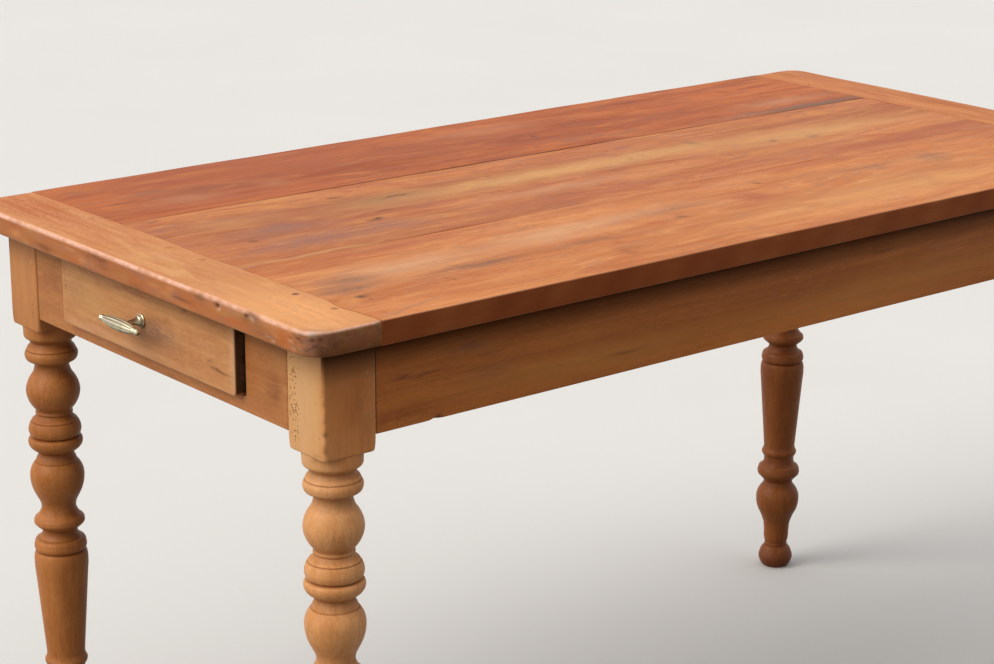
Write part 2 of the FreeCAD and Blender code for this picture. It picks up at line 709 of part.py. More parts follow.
# The right end repeats the left end
leftEnd = [endBoardLeft, bearer, runnerFront, runnerBack, guideFront, guideBack, breadboard]
leftDrawer = [drawerFront, sideFront, sideBack, drawerBack, drawerBottomBoard, drawerNails]
leftPull = [pullRose, pullPost, pullGrip, pullStud, pullNut]
for piece in leftEnd + leftDrawer + leftPull:
    label = piece.Label.replace("left", "right")
    node(mirrored(label, piece, alongX), label)

doc.recompute()
failed = [item.Label for item in doc.Objects if "Invalid" in item.State or "Error" in item.State]
failed += [item.Label for item in nodes if item.Shape.isNull() or not item.Shape.isValid()]
failed += [item.Label for item in nodes if not item.Shape.Solids]
if failed:
    raise RuntimeError("not built: " + ", ".join(failed))

os.makedirs("parts", exist_ok=True)
for item in nodes:
    item.Shape.exportStep(f"parts/{item.Label}.step")
    box = item.Shape.BoundBox
    print(f"{item.Label}: {len(item.Shape.Solids)} solids, {item.Shape.Volume / 1000:.1f} cm3, "
          f"{box.XLength:.1f} x {box.YLength:.1f} x {box.ZLength:.1f} mm")
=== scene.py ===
import math

import bmesh
import bpy
import numpy as np
from mathutils import Matrix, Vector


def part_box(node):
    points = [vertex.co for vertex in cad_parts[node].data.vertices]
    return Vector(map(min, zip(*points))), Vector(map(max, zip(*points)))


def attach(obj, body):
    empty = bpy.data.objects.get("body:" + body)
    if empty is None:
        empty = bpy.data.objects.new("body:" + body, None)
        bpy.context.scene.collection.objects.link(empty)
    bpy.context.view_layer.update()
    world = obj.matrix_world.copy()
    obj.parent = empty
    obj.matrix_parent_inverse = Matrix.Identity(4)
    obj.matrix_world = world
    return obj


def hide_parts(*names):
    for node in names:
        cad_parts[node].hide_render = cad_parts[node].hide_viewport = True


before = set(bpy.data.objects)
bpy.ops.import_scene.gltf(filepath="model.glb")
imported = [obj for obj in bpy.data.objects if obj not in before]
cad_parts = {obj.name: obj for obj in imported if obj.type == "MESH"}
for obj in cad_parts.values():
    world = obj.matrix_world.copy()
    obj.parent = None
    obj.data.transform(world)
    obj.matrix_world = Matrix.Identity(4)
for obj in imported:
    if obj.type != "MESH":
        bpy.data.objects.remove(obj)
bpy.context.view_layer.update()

# Old kitchen table of waxed fruitwood: planked top with breadboard ends, turned legs, a drawer in each end.
# Sizes are in millimetres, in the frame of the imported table; mm takes them to Blender's metres.
mm = 0.001


# sRGB hex to the linear colour that a shader takes
def linear(hexText):
    parts = np.array([int(hexText[at:at + 2], 16) for at in (1, 3, 5)]) / 255
    parts = np.where(parts > 0.04045, ((parts + 0.055) / 1.055) ** 2.4, parts / 12.92)
    return (*parts.tolist(), 1.0)


# Adds a node, sets its options, then links or fills its sockets by name or number
def addNode(tree, kind, options=None, sockets=None):
    node = tree.nodes.new("ShaderNode" + kind)
    for name, value in (options or {}).items():
        setattr(node, name, value)
    for key, value in (sockets or {}).items():
        if isinstance(value, bpy.types.NodeSocket):
            tree.links.new(value, node.inputs[key])
        else:
            node.inputs[key].default_value = value
    return node


def newMaterial(name):
    material = bpy.data.materials.new(name)
    material.use_nodes = True
    material.node_tree.nodes.clear()
    return material, material.node_tree


def nodeBox(node):
    return [np.array(corner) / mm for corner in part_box(node)]


# What age has left on the wood, and the painted shade under the overhang, each a point field on the mesh
# that tints the grain where it is above zero
markColours = {
    "ochre": "#dca365",
    "olive": "#a87a4e",
    "red": "#b4603b",
    "pale": "#e6b48c",
    "violet": "#9d6a5a",
    "grey": "#86604c",
    "grime": "#4b2a1a",
    "worn": "#e9b699",
    "knot": "#35190f",
    # painted shade: near black, on faces under the overhang
    "shade": "#160a04",
}


# Grain as noise stretched along the wood: length along, width across, detail and waviness. Fibres, flecks
# and pores are drawn coarser than real ones, which would not show.
grainMm = {
    "tone": (420, 60, 3.0, 0.6),
    "mottle": (115, 19, 4.0, 1.1),
    "cloud": (80, 28, 4.0, 1.1),
    "streak": (150, 8, 4.0, 0.8),
    "fibre": (50, 1.3, 3.0, 0.3),
    "fleck": (9, 2.2, 2.0, 0.5),
    "pore": (15, 1.1, 1.0, 0.3),
}
fruitwood = {
    "ruddyDepth": 0.5, "goldDepth": 0.45, "cloudDepth": 0.3, "streakDepth": 0.4, "ringDepth": 0.2,
    "fibreDepth": 0.25, "fleckDepth": 0.3, "ringWidth": 8.0, "gloss": (0.40, 0.54), "endGrain": "#64381f",
    "endDepth": 0.55, "grainMm": {}, "sheen": 0.22, "unbroken": ("knot", "side", "shade"),
    "poreDepth": 0.3, "noiseRough": 0.55,
    "ringScale": 0.314,       # a wave of this scale repeats once in a metre
    "ringStretch": 0.12, "ringBend": 7.0, "ringSharp": 2.5,
}


# Waxed fruitwood, planed and hand rubbed: close grained, so it shows slow cloudy tone, reddish and golden
# patches, soft streaks along the grain, faint growth rings round a far pith, fine fibre lines and pores,
# and a satin wax sheen
def waxedFruitwood(name, ownLook):
    wood = {**fruitwood, **ownLook}
    material, tree = newMaterial(name)
    axis = "XYZ".index(wood["grain"])
    coords = addNode(tree, "TexCoord").outputs["Object"]
    field = {}
    for label, (along, across, detail, wavy) in {**grainMm, **wood["grainMm"]}.items():
        scale = [1 / (across * mm)] * 3
        scale[axis] = 1 / (along * mm)
        place = addNode(tree, "Mapping", None, {
            "Vector": coords, "Location": wood["shift"], "Scale": scale})
        noise = addNode(tree, "TexNoise", None, {
            "Vector": place.outputs[0], "Scale": 1.0, "Detail": detail, "Roughness": wood["noiseRough"],
            "Distortion": wavy})
        field[label] = noise.outputs[0]

    # growth rings: distance from the pith, bent by slow noise, dark at the end of each year
    slow = [1.0, 1.0, 1.0]
    slow[axis] = wood["ringStretch"]
    pith = [-part * mm * stretch for part, stretch in zip(wood["pith"], slow)]
    place = addNode(tree, "Mapping", None, {"Vector": coords, "Location": pith, "Scale": slow})
    rings = addNode(tree, "TexWave", {
        "wave_type": "RINGS", "rings_direction": wood["grain"], "wave_profile": "SAW"}, {
        "Vector": place.outputs[0], "Scale": wood["ringScale"] / (wood["ringWidth"] * mm),
        "Distortion": wood["ringBend"], "Detail": 3.0, "Detail Scale": 0.4, "Detail Roughness": 0.5})
    field["ring"] = addNode(tree, "Math", {"operation": "POWER"}, {
        0: rings.outputs["Fac"], 1: wood["ringSharp"]}).outputs[0]

    colour = linear(wood["dark"])
    layers = [  # field, where it starts and ends, its strength, its colour
        ("tone", 0.36, 0.64, 1.0, wood["light"]),
        ("mottle", 0.49, 0.26, wood["ruddyDepth"], wood["ruddy"]),
        ("mottle", 0.53, 0.76, wood["goldDepth"], wood["gold"]),
        ("cloud", 0.54, 0.74, wood["cloudDepth"], wood["clouded"]),
        ("streak", 0.50, 0.78, wood["streakDepth"], wood["streak"]),
        ("ring", 0.15, 1.0, wood["ringDepth"], wood["streak"]),
        ("fibre", 0.50, 0.78, wood["fibreDepth"], wood["streak"]),
        ("fleck", 0.44, 0.26, wood["fleckDepth"], wood["gold"]),
        ("fleck", 0.56, 0.76, wood["fleckDepth"], wood["streak"]),
        ("pore", 0.64, 0.74, wood["poreDepth"], wood["streak"]),
    ]
    for label, start, end, strength, tint in layers:
        mask = addNode(tree, "MapRange", None, {
            "Value": field[label], "From Min": start, "From Max": end, "To Max": strength})
        mix = addNode(tree, "Mix", {"data_type": "RGBA"}, {
            0: mask.outputs[0], 6: colour, 7: linear(tint)})
        colour = mix.outputs[2]

    # marks, broken up along the grain by the streaks and flecks
    grainy = addNode(tree, "Math", {"operation": "ADD"}, {0: field["streak"], 1: field["fleck"]}).outputs[0]
    broken = addNode(tree, "MapRange", None, {
        "Value": grainy, "From Min": 0.72, "From Max": 1.12, "To Min": 0.5, "To Max": 1.25}).outputs[0]
    for kind in wood["marks"]:
        amount = addNode(tree, "Attribute", {"attribute_name": kind}).outputs["Fac"]
        if kind not in wood["unbroken"]:
            amount = addNode(tree, "Math", {"operation": "MULTIPLY"}, {0: amount, 1: broken}).outputs[0]
        mix = addNode(tree, "Mix", {"data_type": "RGBA", "clamp_factor": True}, {
            0: amount, 6: colour, 7: linear(wood.get(kind, markColours.get(kind)))})
        colour = mix.outputs[2]

    # end grain drinks the finish and is darker
    normal = addNode(tree, "NewGeometry").outputs["Normal"]
    along = [0.0, 0.0, 0.0]
    along[axis] = 1.0
    facing = addNode(tree, "VectorMath", {"operation": "DOT_PRODUCT"}, {
        0: normal, 1: along}).outputs["Value"]
    facing = addNode(tree, "Math", {"operation": "ABSOLUTE"}, {0: facing}).outputs[0]
    mask = addNode(tree, "MapRange", None, {
        "Value": facing, "From Min": 0.65, "From Max": 1.0, "To Max": wood["endDepth"]})
    colour = addNode(tree, "Mix", {"data_type": "RGBA"}, {
        0: mask.outputs[0], 6: colour, 7: linear(wood["endGrain"])}).outputs[2]

    height = addNode(tree, "Math", {"operation": "ADD"}, {0: field["fibre"], 1: field["streak"]}).outputs[0]
    if "wormMm" in wood:  # beetle holes: round dots, kept where the worm field lies and a coin toss allows
        scale = [1 / (wood["wormMm"] * mm)] * 3
        scale[axis] *= wood["wormShort"]
        place = addNode(tree, "Mapping", None, {"Vector": coords, "Scale": scale})
        cells = addNode(tree, "TexVoronoi", None, {
            "Vector": place.outputs[0], "Scale": 1.0, "Randomness": 1.0})
        dot = addNode(tree, "MapRange", None, {
            "Value": cells.outputs["Distance"], "From Min": 0.46, "From Max": 0.32}).outputs[0]
        toss = addNode(tree, "SeparateColor", None, {0: cells.outputs["Color"]}).outputs[0]
        amount = addNode(tree, "Attribute", {"attribute_name": "worm"}).outputs["Fac"]
        kept = addNode(tree, "Math", {"operation": "LESS_THAN"}, {0: toss, 1: amount}).outputs[0]
        hole = addNode(tree, "Math", {"operation": "MULTIPLY"}, {0: dot, 1: kept}).outputs[0]
        colour = addNode(tree, "Mix", {"data_type": "RGBA"}, {
            0: hole, 6: colour, 7: linear(wood["wormHole"])}).outputs[2]
        height = addNode(tree, "Math", {"operation": "SUBTRACT"}, {0: height, 1: hole}).outputs[0]
    if "gapShadeBeyond" in wood:  # painted shadow: darker towards the ends of the table, where the drawer sides stand in the gaps beside the drawer fronts
        apart = addNode(tree, "SeparateXYZ", None, {0: coords}).outputs["X"]
        apart = addNode(tree, "Math", {"operation": "ABSOLUTE"}, {0: apart}).outputs[0]
        clean, dark = wood["gapShadeBeyond"]
        mask = addNode(tree, "MapRange", None, {
            "Value": apart, "From Min": clean * mm, "From Max": dark * mm, "To Max": 0.9})
        colour = addNode(tree, "Mix", {"data_type": "RGBA"}, {
            0: mask.outputs[0], 6: colour, 7: linear(wood["gapShade"])}).outputs[2]

    rough = addNode(tree, "MapRange", None, {
        "Value": field["streak"], "From Min": 0.3, "From Max": 0.7, "To Min": wood["gloss"][0],
        "To Max": wood["gloss"][1]})
    sheen = wood["sheen"]
    if "shade" in wood["marks"]:  # painted shade is kept dull: it takes away the sheen
        paintedShade = addNode(tree, "Attribute", {"attribute_name": "shade"}).outputs["Fac"]
        sheen = addNode(tree, "MapRange", None, {
            "Value": paintedShade, "To Min": wood["sheen"], "To Max": 0.0}).outputs[0]
    bump = addNode(tree, "Bump", None, {"Strength": 0.4, "Distance": 0.25 * mm, "Height": height})
    shader = addNode(tree, "BsdfPrincipled", None, {
        "Base Color": colour, "Roughness": rough.outputs[0], "IOR": 1.5, "Specular IOR Level": sheen,
        "Normal": bump.outputs[0]})
    addNode(tree, "OutputMaterial", None, {"Surface": shader.outputs[0]})
    return material


# Slow unevenness of worked wood: a sum of sine waves, each with its own direction, length and phase
def unevenness(points, lengths, heights, seed):
    draw = np.random.default_rng(seed)
    total = np.zeros(len(points))
    for length, height in zip(lengths, heights):
        direction = draw.normal(size=3)
        direction /= np.linalg.norm(direction)
        total += height * np.sin(points @ direction * (2 * math.pi / length) + draw.uniform(0, 2 * math.pi))
    return total


# Blots: strength times exp of minus the squared distance in units of the blot's size; points first
# wander by slow waves so that no blot is a clean oval. A mark's row is kind, centre, size, strength.
wandering = {"lengths": (90, 41, 23), "shares": (1.0, 0.6, 0.4), "seed": 40}


def markFields(points, marks, wander=(6.0, 2.0, 2.0)):
    shifted = points.copy()
    for axis, reach in enumerate(wander):
        heights = [share * reach for share in wandering["shares"]]
        shifted[:, axis] += unevenness(points, wandering["lengths"], heights, wandering["seed"] + axis)
    fields = {}
    for kind, *place, strength in marks:
        away = (shifted - np.array(place[:3])) / np.array(place[3:])
        blot = strength * np.exp(-(away ** 2).sum(axis=1))
        fields[kind] = 1 - (1 - fields.get(kind, 0.0)) * (1 - blot)
    return fields


# The stronger of a field that is there and another
def deepen(fields, kind, values):
    fields[kind] = np.maximum(fields.get(kind, 0), values)


# Painted shade on a face under the overhang, and on the breadboards' sides towards their lower edge: depth
# times the rise above a height, full at the height reach
def underTop(heights, start, reach, depth):
    return depth * np.clip((heights - start) / (reach - start), 0, 1)


# Plan of a board: lines along and across, closer together in its corners, whose squares are pressed into
# quarter discs by scaling each offset from the disc's centre by its larger part over its length
def boardPlan(low, high, steps, radii):
    lines = []
    for axis, ends in ((0, ((0, 3), (1, 2))), (1, ((0, 1), (3, 2)))):
        reach = [max(radii[corner] for corner in end) for end in ends]
        count = max(2, round((high[axis] - low[axis] - sum(reach)) / steps[axis]))
        parts = [np.linspace(low[axis] + reach[0], high[axis] - reach[1], count + 1)]
        for corner in range(4):
            inner = np.linspace(0, radii[corner], max(3, round(radii[corner] / steps[axis])) + 1)
            parts.append(low[axis] + inner if corner in ends[0] else high[axis] - inner)
        lines.append(np.unique(np.concatenate(parts).round(5)))
    a, b = np.meshgrid(*lines, indexing="ij")
    for corner, radius in enumerate(radii):
        towards = (1 if corner in (1, 2) else -1, 1 if corner in (2, 3) else -1)
        centre = [high[axis] - radius if towards[axis] > 0 else low[axis] + radius for axis in (0, 1)]
        p = towards[0] * (a - centre[0])
        q = towards[1] * (b - centre[1])
        inside = (p > 0) & (q > 0)
        press = np.where(inside, np.maximum(p, q) / np.maximum(np.hypot(p, q), 1e-9), 1.0)
        a = centre[0] + towards[0] * p * press
        b = centre[1] + towards[1] * q * press
    return np.stack([a, b], axis=-1)


# Closed board: its plan is the upper and the lower face, and between them the rim swells out along its own
# normal, a quarter ellipse from each face to a straight side. out, drop and lift are the arris on the
# plan's four sides: how far it swells, how far it falls from the upper face and how far it rises from
# the lower one. An arris that swells further than wornFrom shows wear.
def boardSurface(plan, under, over, out, drop, lift, axes, sideRows=6, arrisRows=5, wornFrom=1.2):
    rows, cols = plan.shape[:2]
    count = rows * cols
    index = np.arange(count).reshape(rows, cols)
    flat = plan.reshape(-1, 2)
    rim = np.concatenate([index[:-1, 0], index[-1, :-1], index[:0:-1, -1], index[0, :0:-1]])
    edge = flat[rim]
    along = np.roll(edge, -1, 0) - np.roll(edge, 1, 0)
    after = np.roll(edge, -1, 0)
    turnsLeft = np.sign((edge[:, 0] * after[:, 1] - after[:, 0] * edge[:, 1]).sum())
    normal = turnsLeft * np.stack([along[:, 1], -along[:, 0]], 1)
    normal /= np.linalg.norm(normal, axis=1, keepdims=True)
    bySide = []
    for values in (out, drop, lift):
        first = np.where(normal[:, 0] < 0, values[0], values[1])
        second = np.where(normal[:, 1] < 0, values[2], values[3])
        bySide.append(first * normal[:, 0] ** 2 + second * normal[:, 1] ** 2)
    outBy, dropBy, liftBy = bySide
    turn = np.linspace(0, math.pi / 2, arrisRows + 1)[1:, None]
    down = np.linspace(0, 1, sideRows + 1)[1:-1, None]
    back = turn[::-1]
    heights = np.vstack([
        over - dropBy * (1 - np.cos(turn)),
        (over - dropBy) * (1 - down) + (under + liftBy) * down,
        under + liftBy * (1 - np.cos(back))])
    swell = np.vstack([np.sin(turn), np.ones_like(down), np.sin(back)])
    arris = np.vstack([np.sin(2 * turn) ** 2, np.zeros_like(down), np.zeros_like(back)])
    ringCount, rimCount = len(swell), len(rim)
    rings = edge + normal * (swell * outBy)[..., None]
    local = np.vstack([
        np.column_stack([flat, np.full(count, over)]),
        np.column_stack([flat, np.full(count, under)]),
        np.column_stack([rings.reshape(-1, 2), heights.ravel()])])
    between = 2 * count + np.arange(ringCount * rimCount).reshape(ringCount, rimCount)
    loops = np.vstack([rim, between, count + rim])
    beside = np.roll(loops, -1, axis=1)
    face = np.stack([index[:-1, :-1], index[1:, :-1], index[1:, 1:], index[:-1, 1:]], -1).reshape(-1, 4)
    wall = np.stack([loops[:-1], beside[:-1], beside[1:], loops[1:]], -1).reshape(-1, 4)
    points = np.zeros_like(local)
    points[:, ["xyz".index(axis) for axis in axes]] = local
    quiet = np.zeros(2 * count)
    worn = np.concatenate([quiet, (arris * (outBy > wornFrom)).ravel()])
    side = np.concatenate([quiet, (swell ** 3 * np.ones(rimCount)).ravel()])
    return {"points": points, "quads": np.vstack([face, face[:, ::-1] + count, wall]),
            "fields": {"worn": worn, "side": side}}


# Rings that close on themselves, row after row, with both ends drawn to their middles
def ringSurface(rings, fields=None):
    rings = np.concatenate([
        np.repeat(rings[:1].mean(1, keepdims=True), rings.shape[1], 1), rings,
        np.repeat(rings[-1:].mean(1, keepdims=True), rings.shape[1], 1)])
    rows, cols = rings.shape[:2]
    loops = np.arange(rows * cols).reshape(rows, cols)
    beside = np.roll(loops, -1, axis=1)
    quads = np.stack([loops[:-1], beside[:-1], beside[1:], loops[1:]], -1).reshape(-1, 4)
    padded = {}
    for kind, values in (fields or {}).items():
        padded[kind] = np.pad(values, ((1, 1), (0, 0)), mode="edge").ravel()
    return {"points": rings.reshape(-1, 3), "quads": quads, "fields": padded}


# Outline of a turning as radius and height: each row is reached by a straight line, or by the circle
# through the last point, the row's middle and the row itself
def turnedOutline(length, radius, startShare, shares, arcSteps, lineSteps):
    points = [np.array([[startShare * radius, 0.0]])]
    for heightShare, radiusShare, middleShare in shares:
        first = points[-1][-1]
        last = np.array([radiusShare * radius, heightShare * length])
        if middleShare is None:
            points.append(first + (last - first) * np.linspace(0, 1, lineSteps + 1)[1:, None])
            continue
        middle = np.array([middleShare * radius, (first[1] + last[1]) / 2])
        sides = 2 * np.array([middle - first, last - first])
        squares = np.array([middle @ middle - first @ first, last @ last - first @ first])
        centre = np.linalg.solve(sides, squares)
        spokes = np.array([first, middle, last]) - centre
        angles = np.unwrap(np.arctan2(spokes[:, 1], spokes[:, 0]))
        sweep = np.linspace(angles[0], angles[2], arcSteps + 1)[1:]
        reach = np.linalg.norm(spokes[0])
        points.append(centre + reach * np.column_stack([np.cos(sweep), np.sin(sweep)]))
    return np.vstack(points).T


def joinSurfaces(surfaces):
    starts = np.cumsum([0] + [len(surface["points"]) for surface in surfaces])
    fields = {}
    for kind in sorted({kind for surface in surfaces for kind in surface["fields"]}):
        fields[kind] = np.concatenate([
            surface["fields"].get(kind, np.zeros(len(surface["points"]))) for surface in surfaces])
    return {"points": np.vstack([surface["points"] for surface in surfaces]),
            "quads": np.vstack([surface["quads"] + start for surface, start in zip(surfaces, starts)]),
            "fields": fields}


# Puts a surface into an object at the origin: fields become point attributes, doubles are merged, faces
# turned out
def makePiece(name, surface, material, body, node, crease=34):
    mesh = bpy.data.meshes.new(name)
    mesh.from_pydata((surface["points"] * mm).tolist(), [], surface["quads"].tolist())
    for kind, values in surface["fields"].items():
        layer = mesh.attributes.new(kind, "FLOAT", "POINT")
        layer.data.foreach_set("value", np.clip(values, 0, 1).astype(np.float32))
    tool = bmesh.new()
    tool.from_mesh(mesh)
    bmesh.ops.remove_doubles(tool, verts=tool.verts, dist=1e-7)
    bmesh.ops.recalc_face_normals(tool, faces=tool.faces)
    tool.to_mesh(mesh)
    tool.free()
    mesh.shade_smooth()
    mesh.set_sharp_from_angle(angle=math.radians(crease))
    mesh.materials.append(material)
    piece = bpy.data.objects.new(name, mesh)
    bpy.context.scene.collection.objects.link(piece)
    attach(piece, body)
    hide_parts(node)
    return piece


# Top: three planks between two breadboard ends
endLow, endHigh = nodeBox("breadboard_left")
tableTop = {
    "halfLength": -endLow[0],
    "plankHalf": -endHigh[0],
    "halfWidth": endHigh[1],
    "under": endLow[2],
    "over": endHigh[2],
    "wornBelow": 0.5,         # the face lies this far under the pegs' crowns
    "frontJoint": -105.0,
    "backJoint": 138.0,
    "backSkew": 9.0,          # the back joint runs this far out of line at each end
    "frontGap": 0.005,
    "backGap": 0.35,
    "tongueThick": 9.0,
    "tongueReach": 8.0,
    "tongueUnder": 742.0,
    "tongueArris": 0.3,
    "tongueRoot": 12.0,       # the long tongue starts this far inside its plank
    "tongueShort": 2.0,
    "tongueSteps": (40, 6),
    "endTongue": 22.0,
    "endTongueHalf": 328.0,   # the end tongues stop this far from the middle of the table
    "endTongueInset": 6.0,
    "endTongueSteps": (11, 40),
    "endGap": 0.2,
    "endArris": 0.2,
    "steps": (4.2, 1.9),
    "squareCorners": (0.5,) * 4,
    "cornerRadius": 27.0,
    "edgeBand": 3,            # what lies nearer to the edge than this belongs to it
    # level, then lengths, heights and seed of its waves
    "edgeTone": (0.9, (340, 120, 45), (0.05, 0.05, 0.04), 33),
    "wornShare": 0.25,
    "crack": {"reach": 1.6, "back": 0.75, "front": 0.03, "inside": 10},
    "planing": ((420, 170, 96), (0.2, 0.12, 0.06)), "planingSeed": 60, "planedFrom": 750,
    "markDepth": 18,
}
faceHeight = tableTop["over"] - tableTop["wornBelow"]

plankWood = {
    "grain": "X", "pith": (0, 30, 560), "ringWidth": 9.0, "endDepth": 0.6,
    "marks": ("ochre", "olive", "red", "pale", "violet", "grey", "side", "grime", "worn", "knot"),
    "side": "#88421c", "ruddyDepth": 0.6, "goldDepth": 0.6, "cloudDepth": 0.6, "streakDepth": 0.14,
    "ringDepth": 0.05, "fibreDepth": 0.08, "fleckDepth": 0.22, "poreDepth": 0.6, "sheen": 0.1,
    "grainMm": {"mottle": (130, 32, 4.5, 1.6), "cloud": (64, 30, 4.0, 1.8)},
}
planks = {
    "plank_front": {
        "light": "#df8e52", "dark": "#c7743a", "ruddy": "#b95627", "gold": "#f1a863", "clouded": "#b27a5c",
        "streak": "#a65029", "shift": (0.31, 0.0, 0.0),
        "marks": [  # kind, x, y, size along, size across, strength
            ("red", -426, -122, 110, 13, 0.65), ("red", -526, -140, 60, 10, 0.4),
            ("red", -150, -122, 200, 12, 0.45), ("red", 250, -116, 250, 12, 0.55),
            ("red", 55, -205, 30, 24, 0.85), ("pale", -181, -180, 150, 16, 0.38),
            ("pale", -455, -198, 90, 24, 0.5), ("pale", -254, -198, 75, 22, 0.38),
            ("grey", -545, -204, 32, 20, 0.5), ("grey", -554, -236, 38, 13, 0.65),
            ("grey", -390, -241, 62, 11, 0.6), ("grey", -235, -241, 50, 8, 0.4),
            ("grey", -63, -186, 44, 11, 0.4), ("grey", 274, -177, 66, 13, 0.4),
            # the ochre blot at x 219 towards the front edge is painted sheen
            ("grey", 383, -186, 26, 22, 0.55), ("ochre", 219, -268, 260, 40, 0.4),
            ("grime", -79, -221, 14, 5, 0.7), ("grime", -449, -268, 5, 8, 0.4),
            ("grime", -226, -295, 6, 14, 0.3), ("knot", -557, -264, 10, 5.5, 0.95),
            ("knot", -560, -278, 4, 3, 0.6), ("knot", 107, -151, 6, 5, 0.8),
            ("red", 575, -130, 60, 40, 0.45),
        ],
    },
    "plank_middle": {
        "light": "#d4834b", "dark": "#b26438", "ruddy": "#a64525", "gold": "#e99f50", "clouded": "#a0685a",
        "streak": "#944427", "shift": (0.0, 0.47, 0.0),
        "marks": [
            ("ochre", -54, 45, 260, 22, 0.8), ("ochre", 380, 18, 150, 26, 0.75),
            ("ochre", 160, 50, 120, 14, 0.5), ("ochre", -500, 70, 60, 18, 0.4),
            ("ochre", -500, -96, 110, 4, 0.6), ("olive", -300, 55, 60, 24, 0.6),
            ("red", -90, -70, 150, 14, 0.7), ("red", -81, -7, 90, 6, 0.4), ("red", 174, -64, 50, 11, 0.6),
            ("red", 537, -74, 80, 12, 0.7), ("red", 380, -82, 160, 13, 0.65),
            ("pale", -99, -24, 110, 14, 0.28), ("violet", -472, 14, 54, 20, 0.75),
            ("violet", -472, -48, 70, 22, 0.7), ("violet", -363, -48, 48, 20, 0.6),
            ("grey", 205, 64, 9, 15, 0.5), ("grey", 351, -5, 10, 8, 0.6), ("grime", -572, 127, 8, 3, 0.6),
            ("grime", -276, 59, 15, 2.5, 0.8), ("grime", -335, 95, 11, 4, 0.65),
            ("grime", -335, 14, 8, 3, 0.5), ("knot", -358, -16, 5.5, 4, 0.95),
            ("knot", -522, -14, 8, 3.5, 0.8), ("knot", 301, 9, 6, 4, 0.7), ("knot", 78, 41, 5, 3, 0.55),
            ("knot", -126, 77, 4.5, 3, 0.6), ("knot", 28, 5, 4, 2.5, 0.45),
        ],
    },
    "plank_back": {
        "light": "#c86a30", "dark": "#a44f25", "ruddy": "#923718", "gold": "#da8438", "clouded": "#965539",
        "streak": "#84391c", "shift": (0.0, 0.0, 0.83),
        "marks": [
            ("red", -300, 290, 260, 50, 0.5), ("red", -420, 180, 120, 25, 0.35),
            ("red", -54, 268, 24, 10, 0.4), ("red", 337, 262, 20, 22, 0.4),
            ("pale", -476, 202, 50, 20, 0.2), ("pale", -354, 205, 24, 14, 0.16),
            ("pale", 37, 291, 70, 24, 0.18), ("pale", 492, 190, 80, 16, 0.3),
            ("grey", -495, 250, 45, 9, 0.5), ("grey", -417, 232, 55, 8, 0.3),
            ("grey", 92, 173, 24, 10, 0.45), ("grey", 174, 168, 34, 9, 0.4),
            ("grey", 164, 250, 16, 7, 0.35), ("grey", 519, 147, 105, 11, 0.95),
            ("grey", 400, 152, 80, 9, 0.6), ("grime", 560, 136, 45, 5, 0.8),
            ("grime", -554, 227, 18, 2.5, 0.6), ("knot", 69, 218, 5, 3.5, 0.8),
        ],
    },
}


# The joint at the left end strays a little from straight, in the planks and the breadboard alike: some
# bulges and slow waves, which fade with the distance from it
strayLine = {
    "reach": 16.0,
    "bulges": [(-5.0, -286, 20.0), (1.5, -342, 18.0)],  # shift, y and width
    "sway": ((310, 130), (0.7, 0.4), 3),                # lengths, heights and seed of the waves
}


def strayJoint(points):
    near = np.exp(-((points[:, 0] + tableTop["plankHalf"]) / strayLine["reach"]) ** 2)
    across = sum(shift * np.exp(-((points[:, 1] - y) / width) ** 2)
                 for shift, y, width in strayLine["bulges"])
    points[:, 0] += near * (across + unevenness(points * (0, 1, 0), *strayLine["sway"]))


# The back joint is skewed: each plank's edge there shifts in step with its distance from the table's middle
def skewJoint(points, joint, far):
    share = np.clip((points[:, 1] - far) / (joint - far), 0, None)
    points[:, 1] -= share * tableTop["backSkew"] * points[:, 0] / tableTop["plankHalf"]


# A tongue is a plain board with hardly broken edges
def tongue(low, high, steps):
    under, arris = tableTop["tongueUnder"], (tableTop["tongueArris"],) * 4
    plan = boardPlan(low, high, steps, tableTop["squareCorners"])
    return boardSurface(plan, under, under + tableTop["tongueThick"], arris, arris, arris, "xyz",
                        sideRows=2, arrisRows=2)


